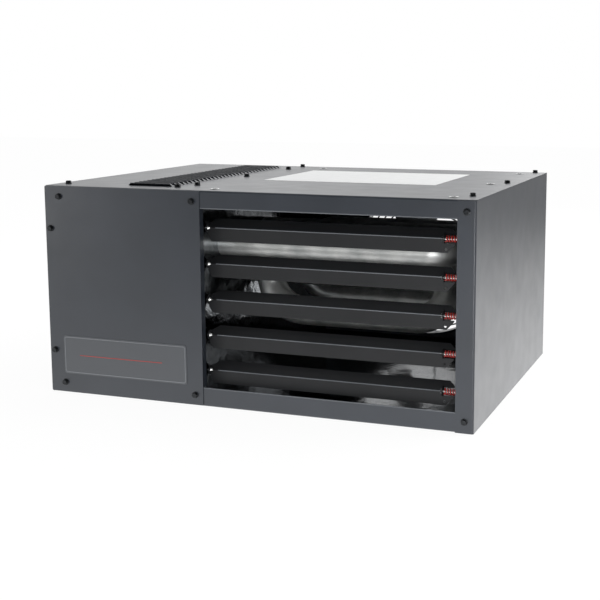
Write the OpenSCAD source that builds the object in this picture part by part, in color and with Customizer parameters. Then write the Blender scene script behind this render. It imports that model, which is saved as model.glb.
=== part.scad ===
// Gas unit heater for a garage or workshop ceiling: a low sheet steel cabinet with a control
// compartment on the left, a tubular heat exchanger behind five discharge louvres on the right,
// and a propeller fan in the rear panel. Millimetres, +Z up, the front faces -Y, and the origin
// is the centre of the cabinet's underside.

/* [Cabinet] */
// Width of the cabinet
cabinet_w = 680; // [620:1:760]
// Depth of the cabinet, without the fan guard
cabinet_d = 505; // [470:1:560]
// Height of the cabinet
cabinet_h = 324; // [316:1:360]
// Thickness of the casing sheets
sheet_t = 1.2; // [0.8:0.1:2]
// Outer radius of the bends in the casing sheets
bend_r = 2.6; // [2.2:0.1:4]
// Width of the access panel over the control compartment
control_w = 265; // [255:1:280]
// Width of the jamb to the right of the louvres
jamb_w = 26.5; // [22:0.5:32]
// Height of the rail below the louvres
bottom_rail_h = 28; // [20:0.5:30]
// Height of the rail above the louvres
top_rail_h = 26; // [20:0.5:28]

/* [Top vent] */
// Number of pressed slots in the top vent
vent_count = 32; // [20:1:34]
// Distance from one vent slot to the next
vent_pitch = 12.9; // [11:0.1:13]
// Length of one vent slot
vent_len = 76; // [60:1:90]
// Depth of one vent hood from its lip to its root
vent_hood_d = 9; // [7:0.5:10]
// Height of a vent hood above the sheet
vent_hood_h = 4; // [3:0.1:5]
// Distance from the vent to the access panel's right edge
vent_in = 68; // [60:1:80]
// Distance from the cabinet's front to the first vent lip
vent_from_front = 44; // [40:1:60]

/* [Discharge louvres] */
// Distance of the top louvre pivot below the upper rail
top_pivot_down = 30.8; // [28:0.1:33]
// Distance of the louvre pivots behind the cabinet front
louvre_set_back = 23; // [21.5:0.5:26]
// Width of the louvre's lower flange
louvre_lower_w = 20; // [16:0.5:20.5]
// Width of the louvre's upper flange
louvre_upper_w = 17.5; // [12:0.5:19]
// Angle between the louvre's flanges and straight
louvre_bend = 45; // [30:1:60]
// Thickness of the louvre sheet
louvre_t = 1; // [0.8:0.1:1.4]
// Radius of the louvre pivot pins
pivot_pin_r = 2.4; // [2:0.1:2.8]

/* [Louvre springs] */
// Outer radius of a louvre spring
spring_outer_r = 5; // [4.8:0.1:5.6]
// Thickness of the spring wire
spring_wire_d = 1.7; // [1.2:0.1:1.9]
// Number of turns in a louvre spring
spring_turns = 7; // [5:1:8]

/* [Heat exchanger] */
// Outer radius of the heat exchanger tubes
tube_r = 22.2; // [19:0.1:23]
// Thickness of the tube wall
tube_wall = 1.2; // [0.9:0.1:2]
// Height between two passes of one tube
pass_rise = 54.5; // [52:0.5:58]
// Distance in depth between two passes of one tube
pass_step = 50; // [48:0.5:52]
// Distance of the first pass, which the burner fires into, below the cabinet's top
first_pass_down = 86; // [84:0.5:90]
// Distance of the first pass behind the cabinet front
first_pass_back = 82; // [78:0.5:90]

/* [Fan] */
// Gap between the propeller's tips and the inlet ring
tip_gap = 6; // [5:0.5:14]
// Number of propeller blades
blade_count = 5; // [3:1:6]
// Pitch of the propeller blades
blade_pitch = 26; // [18:1:30]
// Distance of the fan's inlet ring from the cabinet's top and underside
inlet_in = 29; // [28:0.5:34]
// Radius of the fan motor
motor_r = 42; // [36:0.5:46]
// Length of the fan motor
motor_len = 50; // [44:1:56]
// Radius of the wire of the fan guard
guard_wire_r = 1.5; // [1.2:0.1:2]
// Number of rings in the fan guard
guard_rings = 9; // [6:1:11]
// Number of spokes in the fan guard
guard_spokes = 8; // [4:4:12]

/* [Connections] */
// Outer radius of the flue collar
flue_r = 38; // [36:0.1:39]
// Distance of the flue collar's end behind the rear panel
flue_reach = 32; // [20:1:60]
// Bore radius of the gas inlet thread
gas_bore_r = 9.2; // [8.5:0.1:9.6]
// Depth of the gas inlet thread
gas_bore_len = 16; // [12:1:20]
// Radius of the electrical knockout
knockout_r = 11.1; // [9:0.1:14]
// Bore radius of the threaded hanging inserts
hanger_bore_r = 3.97; // [3:0.01:4.2]
// Distance of the left hanging inserts from the access panel
hanger_left_in = 12; // [8:1:30]
// Distance of the rear hanging inserts from the cabinet's rear
hanger_rear_in = 44; // [40:1:60]

/* [Hidden] */
$fn = 48;

// Extra length of every cut beyond the face that it opens
overrun = 1;
// Gap between sheets that lie side by side
sheet_gap = 0.2;
// Gap at which a seated piece lies from what carries it
seat_gap = 0.3;
// Radial running clearance of shafts and pins
run_gap = 0.05;

// Planes of the cabinet
left_x = -cabinet_w / 2;
right_x = cabinet_w / 2;
front_y = -cabinet_d / 2;
rear_y = cabinet_d / 2;
under_top_z = cabinet_h - sheet_t;

// Width of the sheets' inner flanges
flange_w = 15;
// Width of the side panels' flanges under the top
side_top_flange_w = 32;
// Width of the partition's flange under the top
partition_top_flange_w = 60;
// Face of the rails, which lie behind the jamb and the access panel
rail_y = front_y + sheet_t;
// Left edge of the jamb
jamb_x = right_x - jamb_w;
// Right edge of the access panel
access_right_x = left_x + control_w;
// Partition between the control compartment and the heater
partition_right_x = access_right_x - sheet_t - sheet_gap;
partition_left_x = partition_right_x - sheet_t;
partition_front_y = rail_y + bend_r;
partition_rear_y = rear_y - sheet_t - bend_r;
// Depth of the access panel's return beside the partition
access_return = 12;
// Radius of the rounded corners of the access panel
access_corner_r = 2;

// Hex screws with a washer head
screw_washer_r = 5;
screw_washer_t = 1;
screw_head_r = 4.3;
screw_head_h = 3.6;
screw_shank_r = 1.9;
screw_shank_len = 8;
screw_hole_r = screw_shank_r + run_gap;
// Places of the access panel's screws: across from its left edge, and up
corner_screw_across = 25;
corner_screw_up = 16.5;
side_screw_across = 8.6;
low_side_screw_up = 67;
high_side_screw_up = 258;
right_screw_in = 13;
front_screw_places = [
    [left_x + corner_screw_across, corner_screw_up],
    [left_x + corner_screw_across, cabinet_h - corner_screw_up],
    [access_right_x - right_screw_in, corner_screw_up],
    [access_right_x - right_screw_in, cabinet_h - corner_screw_up],
    [left_x + side_screw_across, low_side_screw_up],
    [left_x + side_screw_across, high_side_screw_up],
    [right_x - jamb_w / 2, corner_screw_up],
    [right_x - jamb_w / 2, cabinet_h - corner_screw_up]
];
// Places of the top screws: the row over the partition, the row at the right side, the corner
partition_screw_in = 44;
right_row_in = 19;
left_screw_in = 18;
left_screw_back = 38;
second_screw_in = 57;
second_screw_back = 41;
first_row_back = 79;
row_shares = [0, 0.42, 0.84, 1];
last_row_in = 8.5;
right_first_back = 55;
right_row_shares = [0, 0.495, 1];
partition_row_len = cabinet_d - first_row_back - last_row_in;
right_row_len = cabinet_d - right_first_back - last_row_in;
top_screw_places = concat(
    [[left_x + left_screw_in, front_y + left_screw_back]],
    [[access_right_x - second_screw_in, front_y + second_screw_back]],
    [for (s = row_shares) [access_right_x - partition_screw_in,
        front_y + first_row_back + s * partition_row_len]],
    [for (s = right_row_shares) [right_x - right_row_in,
        front_y + right_first_back + s * right_row_len]]
);

// Hanging inserts: threaded steel inserts in the heater side of the top
hanger_rim_r = 7;
hanger_rim_t = 0.8;
hanger_barrel_r = 5.6;
hanger_barrel_len = 14;
hanger_hole_r = hanger_barrel_r + run_gap;
// Distance of the right inserts from the right side, and of the front ones from the front
hanger_in = 39;
hanger_back = 28;
hanger_right_x = right_x - hanger_in;
hanger_left_x = access_right_x + hanger_left_in;
hanger_front_y = front_y + hanger_back;
hanger_rear_y = rear_y - hanger_rear_in;
hanger_places = [
    [hanger_left_x, hanger_front_y], [hanger_right_x, hanger_front_y],
    [hanger_left_x, hanger_rear_y], [hanger_right_x, hanger_rear_y],
    [hanger_right_x, (hanger_front_y + hanger_rear_y) / 2]
];

// Nameplate
plate_w = 214;
plate_h = 60;
plate_t = 0.6;
plate_from_left = 24.7;
plate_up = 31;
plate_corner_r = 4;

// Top vent hoods: how far the lip is drawn in at its ends
vent_end_slope = 4;
vent_x = access_right_x - vent_in - vent_len;
vent_y = front_y + vent_from_front;
vent_wall = sheet_t;

// Louvres
louvre_count = 5;
louvre_pitch = (cabinet_h - bottom_rail_h - top_rail_h) / louvre_count;
pivot_y = front_y + louvre_set_back;
function pivot_z(k) = cabinet_h - top_rail_h - top_pivot_down - (k - 1) * louvre_pitch;
// Gap between the louvre's left end and the access panel's return
louvre_end_gap = 1.2;
louvre_left_x = access_right_x + louvre_end_gap;
// Distance from the louvre's right end to the jamb
louvre_right_gap = 8.5;
louvre_right_x = jamb_x - louvre_right_gap;
// Length of the notch that the spring lies in
notch_len = 16;
notch_clear = 1.4;
notch_x = louvre_right_x - notch_len;
notch_r = spring_outer_r + notch_clear;
// Bent tabs that hold the pivot pins
tab_t = 1.2;
tab_r = notch_r + louvre_t;
// Corner cuts of the louvre's ends, along the louvre and across its flange
low_right_cut = [11, 12];
low_left_cut = [6, 10];
up_right_cut = [8, 8];
up_left_cut = [12, 10];
// Hole in the lower flange's right end
louvre_hole_r = 2;
louvre_hole_in = 13;
louvre_hole_down = 15;

// Pivot pins
pin_head_r = 3.8;
pin_head_t = 3.2;
pin_tip_r = 1.4;
pin_reach = 5;

// Bracket behind the jamb that carries the right pivots
bracket_in = 4.5;
bracket_d = 40;
bracket_x = jamb_x + bracket_in;
bracket_low_z = bottom_rail_h + sheet_gap;
bracket_high_z = cabinet_h - top_rail_h - sheet_gap;
// Bush at each right pivot
bush_r = 4.6;
bush_len = 3;

// Louvre springs
spring_r = spring_outer_r - spring_wire_d / 2;
spring_start_x = notch_x + tab_t + seat_gap;
spring_end_x = bracket_x - seat_gap;
spring_rings = 8;
spring_sides = 6;

// Heat exchanger: two tubes, each with four passes
burner_step = 150;
tube_places = [first_pass_back, first_pass_back + burner_step];
first_pass_z = cabinet_h - first_pass_down;
// Centres of the bends
first_bend_in = 90;
left_bend_in = 110;
last_bend_in = 120;
first_bend_x = right_x - first_bend_in;
left_bend_x = partition_right_x + left_bend_in;
last_bend_x = right_x - last_bend_in;
slant_r = norm([pass_step, pass_rise]) / 2;
slant_angle = atan2(pass_rise, pass_step);
last_pass_back = 2 * pass_step;
// Tube ends left of the partition, and their rolled seats
tube_end = 8;
tube_seat_w = 3.5;
// How far the section of the tube draws in at its bends
bend_draw = 0.3;
tube_hole_r = tube_r + run_gap;
tube_end_x = partition_left_x - tube_end;
tube_seat_t = sheet_t;

// Burners: radius and place along the axis of each station
burner_gap = 13;
burner_len = 122;
burner_head_r = 17;
burner_head_len = 26;
burner_throat_r = 9.5;
burner_bell_r = 15;
burner_bell_len = 18;
burner_taper_len = 46;
burner_wall = 1.4;
burner_face_x = tube_end_x - burner_gap;
burner_back_x = burner_face_x - burner_len;
burner_z = first_pass_z;

// Bracket that carries the burners and the manifold
plate_back = 10;
carrier_x = burner_face_x - plate_back;
carrier_over = 36;
carrier_front_y = front_y + tube_places[0] - carrier_over;
carrier_rear_y = front_y + tube_places[1] + carrier_over;
carrier_top_z = burner_z + carrier_over;
last_pass_z = first_pass_z - pass_rise;
collector_top_z = last_pass_z + tube_r + tube_seat_w + sheet_t + seat_gap;
tray_z = collector_top_z + sheet_gap;
tray_top_z = tray_z + sheet_t;

// Manifold and orifices
manifold_r = 10.7;
manifold_wall = 2.4;
orifice_gap = 3;
orifice_len = 12;
orifice_hex_r = 6;
orifice_hex_len = 6;
orifice_tip_r = 4;
orifice_bore_r = 1.1;
manifold_x = burner_back_x - orifice_gap - orifice_len - manifold_r;
manifold_front_y = carrier_front_y + seat_gap;
manifold_rear_y = carrier_rear_y + flange_w;
orifice_root = 2;

// Gas valve
valve_len = 92;
valve_w = 58;
valve_h = 50;
valve_round = 5;
valve_neck_r = 15;
valve_neck_len = 12;
valve_tower_r = 10;
valve_tower_h = 12;
valve_front_y = manifold_rear_y + valve_neck_len;
valve_rear_y = valve_front_y + valve_len;
valve_top_z = burner_z + valve_h / 2;
valve_tower_share = 0.26;
valve_knob_share = 0.7;
knob_r = 13;
knob_h = 13;
knob_skirt_r = 15;
knob_skirt_h = 3;
knob_grip_w = 7;
knob_stem_r = 4;
knob_stem_len = 12;
knob_lift = 0.4;
knob_y = valve_front_y + valve_knob_share * valve_len;

// Gas inlet pipe
pipe_r = 10.7;
pipe_wall = 2.4;
socket_r = 15.5;
socket_len = 30;
pipe_reach = 20;
bushing_r = 20;
bushing_lip = 2.5;
bushing_t = 6;
bushing_groove = sheet_t + sheet_gap;
gas_hole_r = bushing_r - bushing_lip;
pipe_x = manifold_x;
pipe_z = burner_z;

// Ignition electrode and flame sensor
electrode_side = 24;
ceramic_r = 4;
ceramic_len = 42;
ceramic_ahead = 14;
electrode_r = 1;
electrode_len = 8;
electrode_plate_w = 18;
electrode_plate_h = 12;
electrode_plate_t = 1.5;
electrode_hole_r = ceramic_r + run_gap;
igniter_y = front_y + tube_places[0] + electrode_side;
sensor_y = front_y + tube_places[1] - electrode_side;

// Flue collector on the partition
collector_d = 57;
collector_low = 84;
collector_over = 25;
collector_lip = 10;
collector_front_y = front_y + first_pass_back + last_pass_back - collector_over - tube_seat_w;
collector_rear_y = front_y + first_pass_back + burner_step + last_pass_back
    + collector_over + tube_seat_w;
collector_low_z = last_pass_z - collector_low;
collector_x = partition_left_x - collector_d;

// Draft inducer
inducer_y = (collector_front_y + collector_rear_y) / 2;
inducer_drop = 36;
inducer_z = last_pass_z - inducer_drop;
inducer_inlet_r = 28;
inducer_neck = 20;
volute_w = 48;
volute_wall = 1.6;
volute_start_r = 51;
volute_growth = 11;
volute_right_x = collector_x - inducer_neck;
volute_left_x = volute_right_x - volute_w;
volute_mid_x = (volute_left_x + volute_right_x) / 2;
volute_steps = 40;
volute_close = 80;
outlet_h = 50;
outlet_reach = 78;
outlet_low_z = inducer_z - volute_start_r - volute_growth;
outlet_y = inducer_y + outlet_reach;
outlet_mid_z = outlet_low_z + outlet_h / 2;
wheel_r = 44;
wheel_eye_r = 30;
wheel_w = 34;
wheel_blades = 20;
wheel_blade_t = 1.2;
wheel_plate_t = 1.6;
wheel_hub_r = 9;
wheel_hub_len = 22;
wheel_shaft_r = 3;
wheel_side_gap = 3;
inducer_motor_r = 34;
inducer_motor_len = 52;
inducer_motor_neck_r = 14;
inducer_motor_neck = 6;
inducer_foot_r = 46;
inducer_foot_t = 2;
inducer_foot_count = 3;
inducer_bore_len = 30;
tap_r = 3;
tap_len = 10;
tap_up = 26;
tap_back = 34;

// Flue duct
duct_wall = 1;
duct_flange = 16;
duct_flange_t = 1.5;
duct_y = outlet_y + seat_gap;
duct_step = 0.8;
duct_r = flue_r - duct_step;
collar_off = 2;
collar_y = rear_y + collar_off;
collar_end_y = rear_y + flue_reach;
flue_hole_r = duct_r + run_gap;

// Pressure switch and its hose
switch_r = 36;
switch_body_t = 12;
switch_rim_t = 4;
switch_cap_r = 22;
switch_cap_t = 14;
switch_port_r = 3;
switch_port_len = 10;
switch_back = 160;
switch_down = 7;
switch_y = rear_y - switch_back;
switch_z = burner_z - valve_h / 2 - switch_down - switch_r;
hose_r = 4.6;
hose_rings = 24;
hose_sides = 10;

// Control board
board_w = 130;
board_h = 110;
board_t = 1.6;
board_back = 60;
board_up = 60;
spacer_r = 4;
spacer_len = 10;
spacer_in = 8;
board_x = left_x + sheet_t + spacer_len;
relay_size = [15, 19, 16];
relay_count = 3;
relay_pitch = 26;
block_size = [12, 60, 10];
capacitor_r = 6;
capacitor_len = 18;
chip_size = [3, 20, 12];
board_item_in = 14;

// Transformer
core_w = 58;
core_d = 34;
core_h = 48;
coil_w = 34;
coil_d = 50;
coil_h = 30;
foot_w = 84;
foot_t = 2;
transformer_in = 60;
transformer_back = 70;

// Junction box around the knockout
box_w = 72;
box_d = 60;
box_h = 70;
box_in = 20;
box_up = 60;
box_wall = 1.2;
knockout_x = left_x + box_in + box_w / 2;
knockout_z = box_up + box_h / 2;
box_front_y = rear_y - sheet_t - box_d;

// High limit switch on the partition
limit_r = 8;
limit_len = 14;
limit_plate_w = 32;
limit_plate_h = 18;
limit_plate_t = 1.2;
limit_back = 150;
limit_down = 30;
limit_y = front_y + limit_back;
limit_z = cabinet_h - limit_down;
limit_blade = [9, 0.8, 6];
limit_probe = 4;
limit_hole_r = limit_r + run_gap;

// Rollout switch with its reset button, on the burner bracket
rollout_r = 9;
rollout_len = 14;
rollout_plate_w = 30;
rollout_plate_h = 18;
rollout_plate_t = 1.2;
rollout_y = (carrier_front_y + carrier_rear_y) / 2;
button_r = 2.4;
button_head_r = 3.4;
button_head_t = 1.6;
button_travel = 1.5;
button_in = 8;
rollout_bore = button_in + button_travel + seat_gap;

// Fan
fan_x = (partition_right_x + right_x) / 2;
fan_z = cabinet_h / 2;
inlet_r = cabinet_h / 2 - inlet_in;
propeller_r = inlet_r - tip_gap;
blade_turn = 42;
venturi_d = 30.8;
venturi_round = 8;
venturi_flange = 4;
hub_r = 24;
hub_t = 3;
hub_boss_r = 11;
hub_boss_len = 20;
blade_t = 1.5;
blade_camber_r = 120;
blade_root_share = 0.5;
blade_chord_share = 0.95;
blade_lead_share = 0.25;
blade_tail_share = 0.42;
blade_tip_share = 0.9;
blade_belly_share = 0.5;
shaft_r = 4;
shaft_in = 38;
fan_gap = 8;
guard_off = 30;
guard_y = rear_y + guard_off;
guard_plate_t = 1.5;
motor_rear_y = guard_y - 2 * guard_wire_r - guard_plate_t / 2;
motor_front_y = motor_rear_y - motor_len;
motor_round = 6;
motor_slot_w = 3;
motor_slot_len = 16;
motor_slot_d = 3;
motor_slots = 12;
propeller_y = motor_front_y - fan_gap - hub_boss_len;
shaft_front_y = propeller_y - seat_gap;

// Fan guard
guard_over = 10;
guard_clear = 12;
guard_outer_r = inlet_r + guard_over;
guard_plate_r = 30;
guard_inner_r = motor_r + guard_clear;
guard_foot_r = 7;
guard_foot_t = 1.5;
guard_feet = 4;
guard_foot_at = guard_outer_r + guard_foot_r;
guard_turn = 45;

// A box between two corners
module block(low, high) {
    translate(low) cube(high - low);
}

// Round bars along each axis
module bar_x(r, from_x, to_x, y, z) {
    translate([from_x, y, z]) rotate([0, 90, 0]) cylinder(r = r, h = to_x - from_x);
}

module bar_y(r, from_y, to_y, x, z) {
    translate([x, from_y, z]) rotate([-90, 0, 0]) cylinder(r = r, h = to_y - from_y);
}

module bar_z(r, from_z, to_z, x, y) {
    translate([x, y, from_z]) cylinder(r = r, h = to_z - from_z);
}

// A bent sheet in section, its outer corner at the origin and its legs along +X and +Y
module angle_section(leg_x, leg_y) {
    translate([bend_r, 0]) square([leg_x - bend_r, sheet_t]);
    translate([0, bend_r]) square([sheet_t, leg_y - bend_r]);
    translate([bend_r, bend_r]) intersection() {
        difference() {
            circle(bend_r);
            circle(bend_r - sheet_t);
        }
        translate([-bend_r, -bend_r]) square(bend_r);
    }
}

// Extrudes a section drawn in depth and height along the width
module along_x(from_x, to_x) {
    translate([from_x, 0, 0]) rotate([90, 0, 90]) linear_extrude(to_x - from_x) children();
}

// Holes for the front and top screws
module front_screw_holes() {
    for (p = front_screw_places)
        bar_y(screw_hole_r, front_y - overrun, rail_y + sheet_t + overrun, p[0], p[1]);
}

module top_screw_holes() {
    for (p = top_screw_places)
        bar_z(screw_hole_r, under_top_z - sheet_t - overrun, cabinet_h + overrun, p[0], p[1]);
}

// The four passes of one tube and its three bends, which are drawn in a little
module tube_path(place, r, from_x) {
    y = front_y + place;
    z = first_pass_z;
    back_y = y + pass_step;
    low_z = z - 2 * pass_rise;
    bend_section_r = r - bend_draw;
    right_end = first_bend_x + overrun;
    left_end = left_bend_x - overrun;
    last_end = last_bend_x + overrun;
    bar_x(r, from_x, right_end, y, z);
    bar_x(r, left_end, right_end, back_y, z);
    bar_x(r, left_end, last_end, back_y, low_z);
    bar_x(r, from_x, last_end, y + last_pass_back, z - pass_rise);
    translate([first_bend_x, y + pass_step / 2, z])
        rotate([0, 0, -90]) half_ring(pass_step / 2, bend_section_r);
    translate([left_bend_x, back_y, z - pass_rise]) rotate([90, 0, 0])
        rotate([0, 0, 90]) half_ring(pass_rise, bend_section_r);
    translate([last_bend_x, back_y + pass_step / 2, low_z + pass_rise / 2])
        rotate([slant_angle, 0, 0]) rotate([0, 0, -90]) half_ring(slant_r, bend_section_r);
}

// Half of a ring on the +Y side
module half_ring(ring_r, r) {
    rotate_extrude(angle = 180) translate([ring_r, 0]) circle(r);
}

// Casing

module bottom_pan() {
    pan_left_x = left_x + sheet_t;
    pan_right_x = right_x - sheet_t;
    pan_rear_y = rear_y - sheet_t;
    color("#5c5f62") difference() {
        union() {
            along_x(pan_left_x, pan_right_x) translate([rail_y, 0])
                angle_section(-rail_y, bottom_rail_h);
            along_x(pan_left_x, pan_right_x) translate([pan_rear_y, 0]) mirror([1, 0])
                angle_section(pan_rear_y, flange_w);
            for (side = [0, 1]) mirror([side, 0, 0])
                block([pan_left_x, rail_y + bend_r, 0],
                    [pan_left_x + sheet_t, pan_rear_y - bend_r, flange_w]);
        }
        jamb_clearance();
        front_screw_holes();
    }
}

// Clears the corner of a rail for the inside of the jamb's bend
module jamb_clearance() {
    block([right_x - bend_r, rail_y - overrun, -overrun],
        [right_x, front_y + bend_r, under_top_z]);
}

module left_panel() {
    rear_in_y = rear_y - sheet_t;
    color("#5c5f62") difference() {
        union() {
            translate([left_x, rail_y, 0]) linear_extrude(under_top_z)
                angle_section(2 * bend_r, 2 * bend_r);
            block([left_x, rail_y + bend_r, 0], [left_x + sheet_t, rear_in_y, under_top_z]);
            block([left_x + bend_r, rail_y, bottom_rail_h + sheet_gap],
                [left_x + flange_w + sheet_t, rail_y + sheet_t,
                    cabinet_h - top_rail_h - sheet_gap]);
            block([left_x, rear_in_y - sheet_t, flange_w + sheet_gap],
                [left_x + flange_w, rear_in_y, under_top_z]);
            block([left_x, rail_y + bend_r, under_top_z - sheet_t],
                [left_x + side_top_flange_w, rear_in_y, under_top_z]);
        }
        rail_cut(left_x + sheet_t, left_x + 2 * bend_r + overrun);
        front_screw_holes();
        top_screw_holes();
    }
}

// Clears a side panel's front bend where the rails run behind it
module rail_cut(from_x, to_x) {
    block([from_x, rail_y - overrun, -overrun],
        [to_x, rail_y + 2 * bend_r + overrun, bottom_rail_h + sheet_gap]);
    block([from_x, rail_y - overrun, cabinet_h - top_rail_h - sheet_gap],
        [to_x, rail_y + 2 * bend_r + overrun, cabinet_h]);
}

module right_panel() {
    rear_in_y = rear_y - sheet_t;
    wall_top_z = under_top_z - sheet_gap;
    color("#8b8d89") difference() {
        union() {
            translate([right_x, front_y, 0]) mirror([1, 0, 0]) linear_extrude(wall_top_z)
                angle_section(jamb_w, 2 * bend_r);
            block([right_x - sheet_t, front_y + bend_r, 0],
                [right_x, rear_in_y, wall_top_z]);
            block([right_x - flange_w, rear_in_y - sheet_t, flange_w + sheet_gap],
                [right_x, rear_in_y, wall_top_z]);
            block([right_x - side_top_flange_w, rail_y + bend_r,
                under_top_z - sheet_t], [right_x - sheet_t, rear_in_y, under_top_z]);
        }
        front_screw_holes();
        top_screw_holes();
    }
}

module rear_panel() {
    panel_y = rear_y - sheet_t;
    color("#5c5f62") difference() {
        block([left_x, panel_y, 0], [right_x, rear_y, under_top_z]);
        bar_y(inlet_r + venturi_round, panel_y - overrun, rear_y + overrun, fan_x, fan_z);
        bar_y(flue_hole_r, panel_y - overrun, rear_y + overrun, volute_mid_x, outlet_mid_z);
        bar_y(gas_hole_r, panel_y - overrun, rear_y + overrun, pipe_x, pipe_z);
        bar_y(knockout_r, panel_y - overrun, rear_y + overrun, knockout_x, knockout_z);
        for (a = [0 : guard_feet - 1])
            translate([fan_x, rear_y, fan_z])
                rotate([0, a * 360 / guard_feet + guard_turn, 0])
                bar_y(screw_hole_r, -sheet_t - overrun, overrun, guard_foot_at, 0);
    }
}

// Spun inlet ring of the fan: a flange on the rear panel, a rounded edge and a short cylinder
module fan_venturi() {
    round_r = venturi_round;
    color("#5c5f62") translate([fan_x, rear_y - sheet_t, fan_z]) rotate([90, 0, 0])
        rotate_extrude() {
            translate([inlet_r + round_r, 0]) square([venturi_flange, sheet_t]);
            translate([inlet_r + round_r, round_r]) intersection() {
                difference() {
                    circle(round_r);
                    circle(round_r - sheet_t);
                }
                translate([-round_r, -round_r]) square(round_r);
            }
            translate([inlet_r, round_r]) square([sheet_t, venturi_d - round_r]);
        }
}

module partition() {
    color("#a9abac") difference() {
        union() {
            block([partition_left_x, partition_front_y, sheet_t],
                [partition_right_x, partition_rear_y, under_top_z]);
            block([partition_right_x - partition_top_flange_w, partition_front_y,
                under_top_z - sheet_t], [partition_right_x, partition_rear_y, under_top_z]);
            block([partition_right_x - flange_w, partition_front_y, sheet_t],
                [partition_right_x, partition_rear_y, 2 * sheet_t]);
        }
        for (place = tube_places) {
            bar_x(tube_hole_r, partition_left_x - overrun, partition_right_x + overrun,
                front_y + place, first_pass_z);
            bar_x(tube_hole_r, partition_left_x - overrun, partition_right_x + overrun,
                front_y + place + last_pass_back, last_pass_z);
        }
        for (k = [1 : louvre_count])
            bar_x(pivot_pin_r + run_gap, partition_left_x - overrun,
                partition_right_x + overrun, pivot_y, pivot_z(k));
        bar_x(limit_hole_r, partition_left_x - overrun, partition_right_x + overrun,
            limit_y, limit_z);
        top_screw_holes();
    }
}

// One hood of the top vent: its root at the origin, its open lip towards -Y
module hood_shape(len, d, h, slope) {
    intersection() {
        along_x(0, len) polygon([[0, 0], [-d, 0], [-d, h], [-d + h / 2, h]]);
        rotate([90, 0, 0]) translate([0, 0, -overrun]) linear_extrude(d + 2 * overrun)
            polygon([[0, 0], [slope, h], [len - slope, h], [len, 0]]);
    }
}

module vent_hood() {
    difference() {
        hood_shape(vent_len, vent_hood_d, vent_hood_h, vent_end_slope);
        translate([vent_wall, -vent_wall, 0]) hood_shape(vent_len - 2 * vent_wall,
            vent_hood_d, vent_hood_h - vent_wall, vent_end_slope);
    }
}

module top_panel() {
    color("#6a6d70") difference() {
        union() {
            difference() {
                union() {
                    along_x(left_x + sheet_t, right_x - sheet_t)
                        translate([rail_y, cabinet_h]) mirror([0, 1])
                        angle_section(rear_y - rail_y, top_rail_h);
                    for (side = [0, 1]) mirror([side, 0, 0])
                        block([left_x, rail_y + bend_r, under_top_z],
                            [left_x + sheet_t, rear_y, cabinet_h]);
                }
                for (n = [0 : vent_count - 1])
                    translate([vent_x + vent_wall, vent_y + n * vent_pitch, under_top_z])
                        block([0, 0, -overrun], [vent_len - 2 * vent_wall,
                            vent_hood_d - 2 * vent_wall, sheet_t + overrun]);
            }
            for (n = [0 : vent_count - 1])
                translate([vent_x, vent_y + n * vent_pitch + vent_hood_d, cabinet_h])
                    vent_hood();
        }
        for (p = hanger_places)
            bar_z(hanger_hole_r, under_top_z - overrun, cabinet_h + overrun, p[0], p[1]);
        jamb_clearance();
        top_screw_holes();
        front_screw_holes();
    }
}

module access_panel() {
    low_z = sheet_t;
    high_z = cabinet_h - sheet_t / 2;
    color("#54585c") difference() {
        union() {
            translate([left_x, rail_y, low_z]) rotate([90, 0, 0]) linear_extrude(sheet_t)
                rounded_square(control_w, high_z - low_z, access_corner_r);
            block([access_right_x - sheet_t, rail_y - sheet_t / 2, bottom_rail_h + sheet_gap],
                [access_right_x, front_y + access_return, cabinet_h - top_rail_h - sheet_gap]);
        }
        front_screw_holes();
    }
}

// A rectangle with round corners, its lower left corner at the origin
module rounded_square(w, h, r) {
    translate([r, 0]) square([w - 2 * r, h]);
    translate([0, r]) square([w, h - 2 * r]);
    for (x = [r, w - r])
        for (y = [r, h - r])
            translate([x, y]) circle(r);
}

module nameplate() {
    color("#85888a")
        translate([left_x + plate_from_left, front_y, plate_up]) rotate([90, 0, 0])
        linear_extrude(plate_t) rounded_square(plate_w, plate_h, plate_corner_r);
}

// One washer head screw, its head above the plane and its shank below
module hex_screw() {
    cylinder(r = screw_washer_r, h = screw_washer_t);
    cylinder(r = screw_head_r, h = screw_washer_t + screw_head_h, $fn = 6);
    translate([0, 0, -screw_shank_len]) cylinder(r = screw_shank_r,
        h = screw_shank_len + screw_washer_t);
}

module top_screws() {
    color("#202224")
        for (p = top_screw_places)
            translate([p[0], p[1], cabinet_h]) hex_screw();
}

module front_screws() {
    color("#202224")
        for (p = front_screw_places)
            translate([p[0], front_y, p[1]]) rotate([90, 0, 0]) hex_screw();
}

module hanging_inserts() {
    color("#c9cbcc")
        for (p = hanger_places)
            difference() {
                union() {
                    bar_z(hanger_rim_r, cabinet_h, cabinet_h + hanger_rim_t, p[0], p[1]);
                    bar_z(hanger_barrel_r, cabinet_h - hanger_barrel_len,
                        cabinet_h + hanger_rim_t, p[0], p[1]);
                }
                bar_z(hanger_bore_r, cabinet_h - hanger_barrel_len - overrun,
                    cabinet_h + hanger_rim_t + overrun, p[0], p[1]);
            }
}

// Louvres

module louvre_bracket() {
    color("#54585c") difference() {
        union() {
            block([bracket_x, rail_y, bracket_low_z],
                [bracket_x + sheet_t, rail_y + bracket_d, bracket_high_z]);
            block([bracket_x, rail_y, bracket_low_z],
                [right_x - bend_r, rail_y + sheet_t, bracket_high_z]);
            for (k = [1 : louvre_count])
                bar_x(bush_r, bracket_x, bracket_x + bush_len, pivot_y, pivot_z(k));
        }
        for (k = [1 : louvre_count])
            bar_x(pivot_pin_r + run_gap, bracket_x - overrun, bracket_x + bush_len + overrun,
                pivot_y, pivot_z(k));
    }
}

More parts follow.
